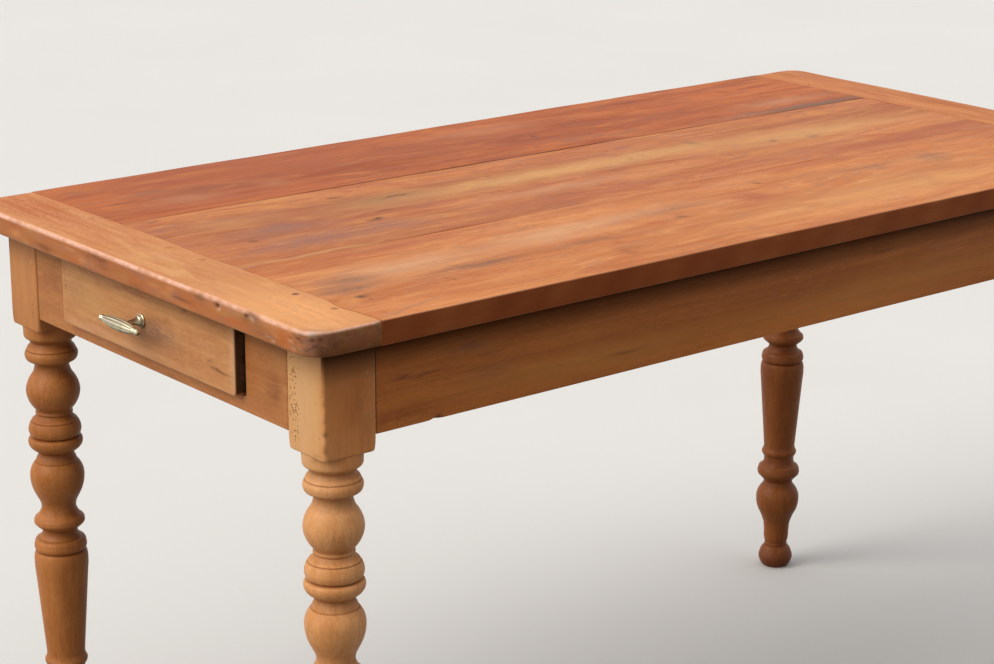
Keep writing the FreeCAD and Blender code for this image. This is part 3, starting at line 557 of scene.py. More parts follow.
plankEdges = {  # y of both edges and the arris there
    "plank_front": (-tableTop["halfWidth"], tableTop["frontJoint"] - tableTop["frontGap"], 1.7, 0.02),
    "plank_middle": (tableTop["frontJoint"] + tableTop["frontGap"],
                     tableTop["backJoint"] - tableTop["backGap"], 0.02, 0.7),
    "plank_back": (tableTop["backJoint"] + tableTop["backGap"], tableTop["halfWidth"], 0.7, 1.7),
}
for number, (name, plank) in enumerate(planks.items()):
    low, high, lowArris, highArris = plankEdges[name]
    half, endArris = tableTop["plankHalf"] - tableTop["endGap"], tableTop["endArris"]
    plan = boardPlan((-half + endArris, low + lowArris), (half - endArris, high - highArris),
                     tableTop["steps"], tableTop["squareCorners"])
    out = (endArris, endArris, lowArris, highArris)
    board = boardSurface(plan, tableTop["under"], faceHeight, out, out, out, "xyz")
    points, fields = board["points"], board["fields"]
    offMiddle = np.abs(points[:, 1])
    level, *waves = tableTop["edgeTone"]
    edgeTone = level + unevenness(points * (1, 0, 1), *waves)
    fields["side"] *= (offMiddle > tableTop["halfWidth"] - tableTop["edgeBand"]) * np.clip(edgeTone, 0, 1)
    fields["worn"] *= tableTop["wornShare"]
    joint = tableTop["crack"]
    crack = 1 - np.clip(np.minimum(points[:, 1] - low, high - points[:, 1]) / joint["reach"], 0, 1)
    crack *= offMiddle < tableTop["halfWidth"] - joint["inside"]
    crack *= np.where(points[:, 1] > 0, joint["back"], joint["front"])
    marks = [(kind, x, y, faceHeight, along, across, tableTop["markDepth"], strength)
             for kind, x, y, along, across, strength in plank["marks"]]
    fields.update(markFields(points, marks))
    deepen(fields, "grime", crack)
    planed = unevenness(points * (1, 1, 0), *tableTop["planing"], tableTop["planingSeed"] + number)
    points[:, 2] += planed * (points[:, 2] > tableTop["planedFrom"])
    reach, inset = tableTop["endTongue"] / 2, tableTop["endTongueInset"]
    tongueLow = max(low, -tableTop["endTongueHalf"]) + inset
    tongueHigh = min(high, tableTop["endTongueHalf"]) - inset
    surfaces = [board]
    for x in (-half - reach, half + reach):
        surfaces.append(tongue((x - reach, tongueLow), (x + reach, tongueHigh), tableTop["endTongueSteps"]))
    if name != "plank_back":
        short = half - tableTop["tongueShort"]
        surfaces.append(tongue((-short, high - tableTop["tongueRoot"]),
                               (short, high + tableTop["tongueReach"]), tableTop["tongueSteps"]))
    whole = joinSurfaces(surfaces)
    if name != "plank_front":
        skewJoint(whole["points"], tableTop["backJoint"], low if name == "plank_middle" else high)
    strayJoint(whole["points"])
    finish = waxedFruitwood("waxed fruitwood " + name.replace("_", " "), {
        **plankWood, **plank, "marks": plankWood["marks"]})
    makePiece(name + "_worn", whole, finish, "frame", name)
print("planks made")

breadboard = {
    "arris": 3.4,             # worn round on the three open edges
    "jointArris": 0.2,
    "steps": (2.4, 2.0), "sideRows": 16, "arrisRows": 8,
    "drop": (5.6, 3.2), "lift": (3.2, 2.6),     # of the arris, at the end and at both sides
    "squareCorner": 0.6,
    "wander": (0.8, 1.6, 0.8),
    # lengths, heights and seed of waves on the face
    "planing": ((300, 120, 60), (0.2, 0.1, 0.05), 71), "planedFrom": 755,
    # and of those along the lower edge
    "waves": ((150, 64, 31), (0.5, 0.35, 0.2), 27), "waveRise": 0.5, "wavesBelow": 745,
    "wornBreaks": ((210, 83, 37, 16), (0.2, 0.16, 0.14, 0.14), 23), "wornLevel": 0.85,
    "sideDepth": 0.85, "crackDepth": 0.3, "jointBand": 1,
    "shade": (-749, -737, 0.45), "shadeBand": (8, 5),
    "middle": (-640, 741),    # x and z that dents point to
    "cornerFrom": 300, "slant": 0.8,
    "nicks": [  # x, y, z, radius and depth of dents in the left end's edge
        (-682, -240, 752, 5.0, 1.8), (-682, -181, 752, 4.0, 1.8), (-682, -278, 738, 4.0, 1.3),
        (-681, -316, 741, 6.0, 1.0), (-680, -333, 747, 7.0, 1.8), (-674, -342, 752, 6.0, 1.6),
        (-668, -346, 748, 5.0, 1.6), (-670, -346, 742, 6.0, 1.2), (-662, -348, 736, 7.0, 1.4),
        (-682, 60, 757, 5.0, 0.8), (-682, 190, 756, 6.0, 0.9), (-682, -60, 758, 6.0, 0.7),
        (-601, -348, 757, 4.0, 1.2),
    ],
    "wood": {
        "grain": "Y", "pith": (-640, 0, 420), "ringWidth": 7.0, "light": "#e9a266", "dark": "#d0864c",
        "ruddy": "#c6703a", "gold": "#f6bb78", "clouded": "#cc8e5e", "streak": "#b96c3a",
        "shift": (0.2, 0.1, 0.0), "endGrain": "#77492b", "sheen": 0.14, "ruddyDepth": 0.6,
        "goldDepth": 0.55, "fibreDepth": 0.18, "ringDepth": 0.12, "worn": "#f5c2aa", "chalk": "#d6b9a0",
        "olive": "#b98a52", "violet": "#a4705c", "red": "#bf642a", "ochre": "#fab270",
        "marks": ("side", "ochre", "red", "pale", "olive", "violet", "grey", "worn", "grime", "shade",
                  "chalk", "knot"),
        "side": "#b46c3e",
    },
    "farWood": {  # the right end is redder, hardly told from the planks
        "light": "#d47f3e", "dark": "#ba6831", "ruddy": "#a64f24", "gold": "#df954a", "clouded": "#b06e40",
        "streak": "#9a5024",
    },
    "scuffSeed": 17,
    "scuffs": {"count": 120, "kinds": ("violet", "violet", "olive", "red", "red", "ochre", "grime"),
               "deep": 5, "along": (4, 22), "up": (1.5, 4.5), "strength": (0.2, 0.55),
               "inset": 1, "reach": 330, "underFace": 3},
    "cornerScuffs": {"count": 90, "kinds": ("violet", "grey", "olive", "pale", "knot", "grime"),
                     "along": (1.6, 4.5), "up": (1.2, 3), "strength": (0.2, 0.55), "inset": 2,
                     "bend": (-0.4, math.pi / 2 + 2.2)},  # past a quarter turn they run on along the front
    "marks": [  # kind, x, y, z, sizes and strength
        ("ochre", -640, -270, 760, 45, 110, 14, 0.75), ("red", -640, 270, 760, 45, 150, 14, 0.78),
        ("violet", -677, -340, 748, 14, 16, 14, 0.85), ("grey", -668, -346, 745, 18, 10, 16, 0.7),
        ("grime", -673, -344, 750, 3, 3, 3, 0.9), ("grime", -666, -347, 748, 3.5, 3, 3, 0.9),
        ("grime", -671, -345, 741, 5, 4, 3, 0.8), ("grime", -684, -262, 744, 6, 26, 9, 0.3),
        # the pale marks at the dents are painted highlights on their lit walls; the one at the corner, x
        # -677, is a pale scuff
        ("knot", -682, -236, 752, 4, 3, 2.2, 0.9), ("chalk", -682, -243, 751, 4, 5, 2.2, 0.55),
        ("violet", -682, -250, 753, 4, 5, 4, 0.7), ("grime", -682, -246, 756, 4, 8, 2, 0.6),
        ("knot", -682, -181, 753, 4, 3, 2.4, 0.95), ("chalk", -682, -184, 750, 4, 3, 1.6, 0.6),
        ("chalk", -682, -280, 738, 4, 4, 1.5, 0.6), ("chalk", -682, -273, 741, 4, 5, 1.2, 0.35),
        ("knot", -682, -283, 735, 4, 6, 1.6, 0.5), ("grey", -682, -327, 755, 5, 6, 3.5, 0.6),
        ("chalk", -677, -337, 757, 5, 5, 3.2, 0.85), ("knot", -677, -337, 750, 4, 3, 2.6, 0.7),
        ("knot", -671, -343, 751, 3, 3, 3.4, 0.7), ("knot", -675, -339, 744, 4, 4, 2.2, 0.5),
        ("grime", -678, -334, 740, 10, 12, 5, 0.55), ("chalk", -600, -348, 754, 1.8, 4, 2, 0.4),
        ("olive", -618, -348, 752, 9, 4, 3, 0.5), ("olive", -644, -348, 755, 10, 4, 2.4, 0.6),
        ("red", -625, -349, 747, 40, 5, 12, 0.45), ("red", -684, -300, 748, 5, 14, 8, 0.7),
        ("red", -684, -215, 743, 5, 40, 4, 0.5), ("red", -684, -120, 746, 5, 60, 4, 0.4),
        ("violet", -661, -347, 752, 7, 5, 5, 0.8), ("grime", -655, -348, 744, 6, 4, 3, 0.6),
        ("grime", -640, -348, 752, 4, 4, 2, 0.5), ("violet", -630, -348, 746, 16, 4, 5, 0.5),
        ("grey", -601, -348, 752, 4, 4, 10, 0.6), ("grime", -640, -60, 760, 3, 18, 8, 0.12),
    ],
}
breadboardFinish = {
    "breadboard_left": waxedFruitwood("waxed fruitwood left breadboard", breadboard["wood"]),
    "breadboard_right": waxedFruitwood("waxed fruitwood right breadboard", {
        **breadboard["wood"], **breadboard["farWood"]}),
}
for name, way in (("breadboard_left", 1), ("breadboard_right", -1)):
    arris, joint, square = breadboard["arris"], breadboard["jointArris"], breadboard["squareCorner"]
    inner = tableTop["cornerRadius"] - arris
    low = (-tableTop["halfLength"] + arris, -tableTop["halfWidth"] + arris)
    high = (-tableTop["plankHalf"] - tableTop["endGap"] - joint, tableTop["halfWidth"] - arris)
    plan = boardPlan(low, high, breadboard["steps"], (inner, square, square, inner))
    drop, lift = [(end, joint, side, side) for end, side in (breadboard["drop"], breadboard["lift"])]
    swell = (arris, joint, arris, arris)
    board = boardSurface(plan, tableTop["under"], faceHeight, swell, drop, lift, "xyz",
                         breadboard["sideRows"], breadboard["arrisRows"])
    points, fields = board["points"], board["fields"]
    points[:, 2] += unevenness(points, *breadboard["planing"]) * (points[:, 2] > breadboard["planedFrom"])
    waves = breadboard["waveRise"] + unevenness(points * (1, 1, 0), *breadboard["waves"])
    below = breadboard["wavesBelow"]
    lower = np.clip((below - points[:, 2]) / (below - tableTop["under"]), 0, 1)
    offJoint = points[:, 0] < high[0] - breadboard["jointBand"]
    points[:, 2] += np.clip(waves, 0, None) * lower * fields["side"] * offJoint
    crack = np.clip((points[:, 0] - high[0]) / (2 * joint), 0, 1)
    crack *= np.abs(points[:, 1]) < tableTop["halfWidth"] - tableTop["edgeBand"]
    if way > 0:
        strayJoint(points)
        middleX, middleZ = breadboard["middle"]
        slant = breadboard["slant"]
        for x, y, z, radius, depth in breadboard["nicks"]:
            near = np.exp(-((points - (x, y, z)) ** 2).sum(1) / radius ** 2)
            sideways = y * (abs(y) > breadboard["cornerFrom"]) * slant
            inward = np.array([x - middleX, sideways, (z - middleZ) * slant])
            points -= near[:, None] * depth * inward / np.linalg.norm(inward)
        marks = list(breadboard["marks"])
        draw = np.random.default_rng(breadboard["scuffSeed"])
        scuffs = breadboard["scuffs"]
        for kind in draw.choice(scuffs["kinds"], scuffs["count"]):
            place = (-tableTop["halfLength"] + scuffs["inset"],
                     draw.uniform(-scuffs["reach"], scuffs["reach"]),
                     draw.uniform(tableTop["under"], faceHeight - scuffs["underFace"]))
            size = (scuffs["deep"], draw.uniform(*scuffs["along"]), draw.uniform(*scuffs["up"]))
            marks.append((kind, *place, *size, draw.uniform(*scuffs["strength"])))
        scuffs = breadboard["cornerScuffs"]
        radius, inset = tableTop["cornerRadius"], scuffs["inset"]
        for kind in draw.choice(scuffs["kinds"], scuffs["count"]):
            bend = draw.uniform(*scuffs["bend"])
            turnAt = np.clip(bend, 0, math.pi / 2)
            place = (-tableTop["halfLength"] + radius * (1 - math.cos(turnAt) + max(bend - math.pi / 2, 0)),
                     -tableTop["halfWidth"] + radius * (1 - math.sin(turnAt) + max(-bend, 0)),
                     draw.uniform(tableTop["under"] + inset, faceHeight - inset))
            size = (*draw.uniform(*scuffs["along"], 2), draw.uniform(*scuffs["up"]))
            marks.append((kind, *place, *size, draw.uniform(*scuffs["strength"])))
        fields.update(markFields(points, marks, breadboard["wander"]))
    deepen(fields, "grime", breadboard["crackDepth"] * crack)
    # the pale worn arris is wear and painted highlight, widened by the square root
    breaks = breadboard["wornLevel"] + unevenness(points * (0, 1, 0), *breadboard["wornBreaks"])
    fields["worn"] = np.sqrt(fields["worn"]) * np.clip(breaks, 0, 1)
    fields["side"] *= breadboard["sideDepth"] * (points[:, 0] < high[0] - breadboard["jointBand"])
    # painted shade: the long sides darken towards their lower edge
    band, fade = breadboard["shadeBand"]
    sides = np.clip((np.abs(points[:, 1]) - tableTop["halfWidth"] + band) / fade, 0, 1)
    fields["shade"] = sides * underTop(-points[:, 2], *breadboard["shade"])
    points[:, 0] *= way
    makePiece(name + "_worn", board, breadboardFinish[name], "frame", name)
print("breadboards made")

# Pegs: whittled, a little out of round, their heads crowned and darker than the boards
peg = {
    "topRadius": 4.5, "topX": tableTop["plankHalf"] + 11.0, "topShares": (0.26, 0.54),
    "sideRadius": 4.0, "heights": (655.5, 698.3), "setback": 11.0, "length": 30.0, "proud": 0.1,
    # radius share, depth
    "profile": np.array([(0.55, 0.0), (0.85, 0.18), (0.97, 0.5), (1.0, 1.1), (1.0, 6.0)]),
    "topDark": {1: 0.95, 0: 0.45, 2: 0.12, 5: 0.1}, "plainDark": 0.05,  # how dark the heads of the top are
    "frontDark": 0.12, "endDark": 0.0,                # and those in the leg blocks
    "rimFrom": 0.35, "rimGrime": (0.1, 0.8),          # the rim is less dark than the head
    "columns": 28, "lobes": 3, "sway": 0.05, "short": 0.3, "sunk": 0.05, "seed": 200,
    "wood": {
        "grain": "Z", "pith": (0, 0, 0), "ringWidth": 3.0, "light": "#dd965c", "dark": "#cb8049",
        "ruddy": "#bb6c3a", "gold": "#e0a56c", "clouded": "#c08455", "streak": "#a5663a",
        "shift": (0.0, 0.2, 0.4), "endGrain": "#c8824a", "endDepth": 0.3, "marks": ("grime",),
        "grime": "#3f2114",
        "grainMm": {"tone": (40, 5, 2.0, 0.4), "mottle": (30, 4, 2.0, 0.4), "cloud": (30, 6, 2.0, 0.4)},
    },
}
around = np.linspace(0, 2 * math.pi, peg["columns"], endpoint=False)


# Grime of one peg: its head's own darkness, and a share of it from the rim on
def pegFields(rings, dark):
    rim = np.linspace(0, 1, len(rings)) > peg["rimFrom"]
    least, share = peg["rimGrime"]
    return {"grime": np.repeat(np.where(rim, least + share * dark, dark)[:, None], rings.shape[1], 1)}


# One peg: rings of the profile, each ring's radius swayed by a three lobed wave, then its shank
def pegRings(radius, length, seed):
    phase = np.random.default_rng(seed).uniform(0, 2 * math.pi)
    shares, depths = np.vstack([peg["profile"], [1.0, length]]).T
    sway = 1 + peg["sway"] * np.sin(peg["lobes"] * around + phase) - peg["sway"]
    reach = radius * shares[:, None] * sway
    deep = np.repeat(-depths[:, None], len(around), 1)
    return np.stack([reach * np.cos(around), reach * np.sin(around), deep], -1)


edges = [-tableTop["halfWidth"], tableTop["frontJoint"], tableTop["backJoint"], tableTop["halfWidth"]]
pegSurfaces = []
for way in (-1, 1):
    for low, high in zip(edges[:-1], edges[1:]):
        for share in peg["topShares"]:
            length = tableTop["over"] - tableTop["under"] - peg["short"]
            rings = pegRings(peg["topRadius"], length, len(pegSurfaces))
            rings += (way * peg["topX"], low + (high - low) * share, tableTop["over"] - peg["sunk"])
            dark = peg["topDark"].get(len(pegSurfaces), peg["plainDark"])
            pegSurfaces.append(ringSurface(rings, pegFields(rings, dark)))
pegFinish = waxedFruitwood("end grain of the breadboard pegs", peg["wood"])
wholePegs = joinSurfaces(pegSurfaces)
makePiece("breadboard_pegs_whittled", wholePegs, pegFinish, "frame", "breadboard_pegs")

# Legs: square blocks above, turned below
overhang = {"ends": 32.0, "sides": 28.0}
halfBlock = 32.0
frameSetback = 0.8            # aprons and end boards lie this far inside the faces of the blocks
leg = {
    "x": (tableTop["halfLength"] - overhang["ends"]) - halfBlock,
    "y": (tableTop["halfWidth"] - overhang["sides"]) - halfBlock,
    "block": 2 * halfBlock, "blockFoot": 614.0, "top": tableTop["under"], "ball": 32.4,
    "arris": 2.2, "shoulderCut": 3.0, "shoulderFade": (7.0, 1.4), "flatColumns": 21, "arrisColumns": 7,
    "blockRises": [0, 0.3, 0.9, 1.8, 3.2, 5, 7.5, 11, 16, 22, *np.linspace(25, 117.5, 40), 119],
    "footEase": (1.0, 0.5),   # the block's lowest rows draw in by this much, over this height
    "arcSteps": 9, "lineSteps": 6, "scoreLines": np.linspace(-2, 2, 9),
    "oval": 0.004, "ovalTwist": 160, "seed": 100,
    "hollowReach": np.linspace(-14, 14, 15), "hollowDepth": 7.0, "hollowGrimeAndShade": 0.62, "scoreGrimeAndShade": 0.9,
    "footGrime": (0.5, 22), "arrisWorn": 0.15, "arrisShare": 0.9,
    "paintedShade": (660, 0.5, 1.5), "shade": (693, 722, 0.86), "outerBand": 4, "innerShare": 0.3,
    "wander": (1.0, 1.0, 4.0),
    "startShare": 0.600,
    "shares": [  # height share, radius share, radius share half way where the stretch is round
        # bun foot
        (0.012, 0.740, 0.690), (0.034, 0.752, 0.795), (0.0495, 0.600, 0.700), (0.0535, 0.540, None),
        (0.062, 0.515, None),
        # ankle, vase
        (0.080, 0.580, 0.560), (0.112, 0.615, 0.590), (0.143, 0.835, 0.705), (0.174, 0.995, 0.955),
        (0.190, 0.985, 1.000), (0.212, 0.765, 0.905), (0.226, 0.665, 0.685),
        # low ring
        (0.2425, 0.945, 0.800), (0.2505, 0.980, 0.972), (0.264, 0.905, 0.958), (0.2705, 0.745, 0.800),
        # collar
        (0.283, 0.690, 0.700), (0.291, 0.700, None), (0.2985, 0.795, 0.765), (0.304, 0.800, 0.805),
        (0.318, 0.715, 0.738),
        # column
        (0.492, 0.975, None), (0.516, 1.000, 0.996), (0.5325, 0.960, 0.994), (0.5365, 0.890, None),
        (0.5405, 0.945, None),
        # flat ring
        (0.551, 0.958, 0.972), (0.5605, 0.895, 0.945), (0.568, 0.715, 0.775), (0.580, 0.655, 0.655),
        # edged ring
        (0.5835, 0.700, None), (0.5925, 0.905, 0.825), (0.5985, 0.935, 0.938), (0.6045, 0.905, 0.928),
        (0.6265, 0.635, 0.715),
        # pear
        (0.6415, 0.695, 0.650), (0.662, 0.890, 0.797), (0.690, 0.998, 0.968), (0.708, 0.945, 0.990),
        (0.7235, 0.760, 0.870), (0.7305, 0.712, None), (0.7395, 0.645, 0.668),
        # double ring
        (0.7475, 0.835, 0.735), (0.758, 0.985, 0.935), (0.7645, 1.000, 0.999), (0.7715, 0.940, 0.985),
        (0.7740, 0.850, None), (0.7765, 0.905, None), (0.788, 0.968, 0.952), (0.803, 0.885, 0.945),
        (0.8085, 0.818, None), (0.818, 0.655, 0.715),
        # bead
        (0.820, 0.674, None), (0.8240, 0.676, 0.686), (0.8260, 0.660, None),
        # ball
        (0.831, 0.705, 0.680), (0.8665, 0.990, 0.918), (0.900, 0.745, 0.925), (0.9175, 0.632, 0.668),
        # collar
        (0.9225, 0.660, 0.640), (0.929, 0.885, 0.775), (0.9355, 0.955, 0.935), (0.944, 0.962, 0.970),
        # disc
        (0.9565, 0.845, 0.908), (0.9655, 0.742, 0.772), (0.9735, 0.885, 0.800), (0.9795, 0.972, 0.950),
        (1.000, 0.985, None),
    ],
    "scores": [  # scored lines: height share, depth and half width
        (0.5365, 0.8, 0.9), (0.5630, 0.8, 0.6), (0.7220, 0.8, 0.6), (0.7740, 0.9, 0.9), (0.8050, 0.8, 0.6),
        (0.9500, 0.8, 0.6), (0.0535, 0.7, 0.7),
    ],
    "wood": {
        "grain": "Z", "pith": (0, 0, 0), "ringWidth": 6.0, "streakDepth": 0.2, "ringDepth": 0.1,
        "fibreDepth": 0.16, "shift": (0.1, 0.3, 0.2), "endGrain": "#8a552e", "endDepth": 0.25,
        "wormMm": 2.2, "wormShort": 0.8, "wormHole": "#4a2a0d",
        "grainMm": {"tone": (180, 40, 3.0, 0.6), "mottle": (70, 20, 4.0, 0.8), "cloud": (50, 26, 4.0, 0.8)},
        "marks": ("ochre", "side", "red", "pale", "grime", "worn", "knot", "shade"), "red": "#7c4228",
        "grime": "#6e3c1c", "unbroken": ("knot", "side", "shade", "grime"),
    },
    "tones": {  # each leg has its own tones, the front left palest and the back right darkest
        "leg_front_left": {
            "light": "#ecaa70", "dark": "#d99458", "ruddy": "#c97e44", "gold": "#f6c08a",
            "clouded": "#cc915c", "streak": "#9c5f30", "ochre": "#e4b074", "side": "#d27c3a",
            "worn": "#e2b27c",
        },
        # the back left leg's side colour serves only its stripe of painted shade
        "leg_back_left": {
            "light": "#c57d42", "dark": "#ae6932", "ruddy": "#9e5828", "gold": "#d48e50",
            "clouded": "#a66c3e", "streak": "#7c4620", "ochre": "#d28f56", "side": "#854719",
            "worn": "#cc9460",
        },
        "leg_front_right": {
            "light": "#c98950", "dark": "#b4733d", "ruddy": "#a5632f", "gold": "#d69b64",
            "clouded": "#a87246", "streak": "#844c24", "ochre": "#cf9558", "side": "#b86c32",
            "worn": "#cf9a66",
        },
        "leg_back_right": {
            "light": "#a6602d", "dark": "#914f23", "ruddy": "#84431d", "gold": "#b57339",
            "clouded": "#885530", "streak": "#683717", "ochre": "#b57a42", "side": "#91532a",
            "worn": "#b07a48",
        },
    },
    "marks": {  # per leg: kind, offset from the leg's axis, z, sizes and strength
        "leg_front_left": [
            ("ochre", -34, 0, 680, 12, 60, 90, 0.8), ("pale", -34, 5, 660, 10, 14, 60, 0.35),
            ("worm", -34, 21, 690, 12, 5, 12, 0.45), ("worm", -34, 22, 660, 12, 6, 16, 0.55),
            ("worm", -34, 18, 634, 12, 5, 9, 0.3), ("worm", -34, 26, 712, 12, 4, 8, 0.3),
            ("worm", -34, 6, 716, 12, 5, 9, 0.2), ("worm", -34, -24, 660, 12, 5, 30, 0.1),
            ("side", 0, -34, 680, 60, 9, 90, 0.8),
            ("knot", -32, -32, 622, 3, 3, 3.5, 0.6), ("knot", -31, -33, 640, 4, 3, 3, 0.65),
            ("knot", -33, -31, 656, 3, 3, 4, 0.45), ("knot", -32, -32, 674, 3, 3, 3, 0.65),
            ("knot", -33, -31, 690, 3, 3, 4, 0.45),
            ("pale", -32, -30, 633, 3, 5, 5, 0.5), ("pale", -33, -29, 660, 3, 5, 6, 0.5),
            ("knot", -20, -20, 613, 12, 12, 3, 0.5), ("red", 8, -34, 668, 16, 8, 22, 0.3),
            ("red", 22, -34, 640, 9, 8, 16, 0.25), ("ochre", -8, -34, 632, 12, 8, 10, 0.3),
        ],
        "leg_back_left": [("ochre", -34, 0, 680, 12, 60, 90, 0.8), ("worm", -34, -20, 640, 12, 5, 14, 0.2),
                          # the back left leg's side blot runs its whole height and is painted shade on the
                          # side facing under the table
                          ("side", 30, -22, 300, 26, 26, 330, 0.8)],
        "leg_front_right": [("red", 0, -34, 660, 40, 12, 40, 0.35)],
        "leg_back_right": [("red", 0, 0, 300, 60, 60, 200, 0.2)],
    },
    "nicks": {  # per leg: offset from the leg's axis, z, radius and depth of chips in the block's arris
        "leg_front_left": [(-32, -32, 622, 4, 0.9), (-31, -33, 640, 4, 1.2), (-33, -31, 656, 5, 0.7),
                           (-32, -32, 674, 4, 1.0), (-33, -31, 690, 5, 0.7)],
    },
    "footMarks": [("red", 0, 0, 8, 60, 60, 24, 0.9), ("red", 0, 0, 155, 60, 60, 40, 0.25)],
}


# Section of the block: a square with round arrises, taken as a flat and a quarter circle four times over
def blockSection(half, arris):
    sway = np.linspace(-1, 1, leg["flatColumns"])
    turn = np.linspace(0, math.pi / 2, leg["arrisColumns"] + 1)[1:-1]
    core = (half - arris)[:, None]
    arris = arris[:, None]
    a = np.hstack([np.repeat(half[:, None], len(sway), 1), core + arris * np.cos(turn)])
    b = np.hstack([core * sway, core + arris * np.sin(turn)])
    return np.concatenate([np.stack(pair, -1) for pair in ((a, b), (-b, a), (-a, -b), (b, -a))], axis=1)


# One leg: rings of the turned outline, notched by the scored lines, then rings of the block, whose arrises
# widen towards the shoulder where the lathe cut its corners. Hollows, where the outline lies inside its own
# running mean, and the scored lines are darkened with grime and painted shade.
def legSurface(seed, faceWay):
    foot = leg["blockFoot"]
    radii, heights = turnedOutline(foot, leg["ball"], leg["startShare"], leg["shares"], leg["arcSteps"],
                                   leg["lineSteps"])
    levels = [heights] + [share * foot + width * leg["scoreLines"] for share, _, width in leg["scores"]]
    fine = np.unique(np.concatenate(levels).clip(0, foot).round(4))
    radii = np.interp(fine, heights, radii)
    smooth = np.interp(fine[:, None] + leg["hollowReach"], fine, radii).mean(1)
    hollow = np.clip((smooth - radii) / leg["hollowDepth"], 0, 1)
    for share, depth, width in leg["scores"]:
        groove = np.exp(-((fine - share * foot) / width) ** 2)
        radii -= depth * groove
        hollow = np.maximum(hollow, leg["scoreGrimeAndShade"] * groove)
    blockZ = foot + np.array(leg["blockRises"])
    rise = blockZ - foot
    ease, easeOver = leg["footEase"]
    half = leg["block"] / 2 - ease * np.exp(-rise / easeOver)
    fade, power = leg["shoulderFade"]
    section = blockSection(half, leg["arris"] + leg["shoulderCut"] * np.exp(-(rise / fade) ** power))
    angles = np.arctan2(section[-1, :, 1], section[-1, :, 0])
    lean = np.random.default_rng(seed).uniform(0, 2 * math.pi, 2)
    oval = 1 + leg["oval"] * np.sin(2 * angles + lean[0] + fine[:, None] / leg["ovalTwist"]) - leg["oval"]
    shaft = (radii[:, None] * oval)[..., None] * np.stack([np.cos(angles), np.sin(angles)], -1)
    plan = np.concatenate([shaft, section])
    rows, cols = plan.shape[:2]
    z = np.concatenate([fine, blockZ])
    rings = np.concatenate([plan, np.repeat(z[:, None, None], cols, 1)], -1)
    onArris = np.abs(np.abs(section[-1]).min(1) - leg["block"] / 2) < leg["arris"] * leg["arrisShare"]
    worn, grime, shade = np.zeros((3, rows, cols))
    worn[len(fine):] = onArris * leg["arrisWorn"]
    footDepth, footHeight = leg["footGrime"]
    footGrime = footDepth * np.exp(-(fine[:, None] / footHeight) ** 2)
    # grime and painted shade in the hollows, grime at the foot
    grime[:len(fine)] = hollow[:, None] * leg["hollowGrimeAndShade"] + footGrime
    # painted shade under the overhang: the block darkens towards its top, fully on its outer face and by a
    # share on the others
    upperShadeFrom, upperShadeDepth, upperShadePower = leg["paintedShade"]
    paintedShade = upperShadeDepth * np.clip((blockZ[:, None] - upperShadeFrom) / (leg["top"] - upperShadeFrom), 0, 1) ** upperShadePower
    onFace = section[-1, :, 1] * faceWay > leg["block"] / 2 - leg["outerBand"]
    outer = np.where(onFace, 1.0, leg["innerShare"])
    grime[len(fine):] = paintedShade * outer
    # painted shade under the overhang
    shade[len(fine):] = underTop(blockZ[:, None], *leg["shade"]) * outer
    return ringSurface(rings, {"worn": worn, "grime": grime, "shade": shade})


legPlaces = {
    "leg_front_left": (-1, -1), "leg_back_left": (-1, 1), "leg_front_right": (1, -1),
    "leg_back_right": (1, 1),
}
for number, (name, (wayX, wayY)) in enumerate(legPlaces.items()):
    turned = legSurface(leg["seed"] + number, wayY)
    finish = waxedFruitwood("turned fruitwood " + name.replace("_", " "), {
        **leg["wood"], **leg["tones"][name]})
    points = turned["points"]
    for kind, values in markFields(points, leg["marks"][name] + leg["footMarks"], leg["wander"]).items():
        deepen(turned["fields"], kind, values)
    for x, y, z, radius, depth in leg["nicks"].get(name, []):
        near = np.exp(-((points - (x, y, z)) ** 2).sum(1) / radius ** 2)
        points[:, :2] -= near[:, None] * depth * np.array([x, y]) / math.hypot(x, y)
    points[:, :2] += (wayX * leg["x"], wayY * leg["y"])
    makePiece(name + "_turned", turned, finish, "frame", name, crease=40)
print("legs turned")

# Tenon pegs in the faces of the leg blocks
pegSurfaces = []
for wayX, wayY in legPlaces.values():
    for z in peg["heights"]:
        rings = pegRings(peg["sideRadius"], peg["length"], peg["seed"] + len(pegSurfaces))
        x = wayX * (leg["x"] - leg["block"] / 2 + peg["setback"])
        y = wayY * (leg["y"] + leg["block"] / 2 + peg["proud"])
        rings = np.stack([x + rings[..., 0], y + wayY * rings[..., 2], z + rings[..., 1]], -1)
        pegSurfaces.append(ringSurface(rings, pegFields(rings, peg["frontDark"])))
        rings = pegRings(peg["sideRadius"], peg["length"], peg["seed"] + len(pegSurfaces))
        x = wayX * (leg["x"] + leg["block"] / 2 + peg["proud"])
        y = wayY * (leg["y"] - leg["block"] / 2 + peg["setback"])
        rings = np.stack([x + wayX * rings[..., 2], y + rings[..., 0], z + rings[..., 1]], -1)
        pegSurfaces.append(ringSurface(rings, pegFields(rings, peg["endDark"])))
tenonPegWood = {
    **peg["wood"], "light": "#cf9660", "dark": "#b97d48", "endGrain": "#a9703f", "grime": "#80502a",
}
tenonPegFinish = waxedFruitwood("end grain of the tenon pegs", tenonPegWood)
wholePegs = joinSurfaces(pegSurfaces)
makePiece("tenon_pegs_whittled", wholePegs, tenonPegFinish, "frame", "tenon_pegs")
print("pegs driven")

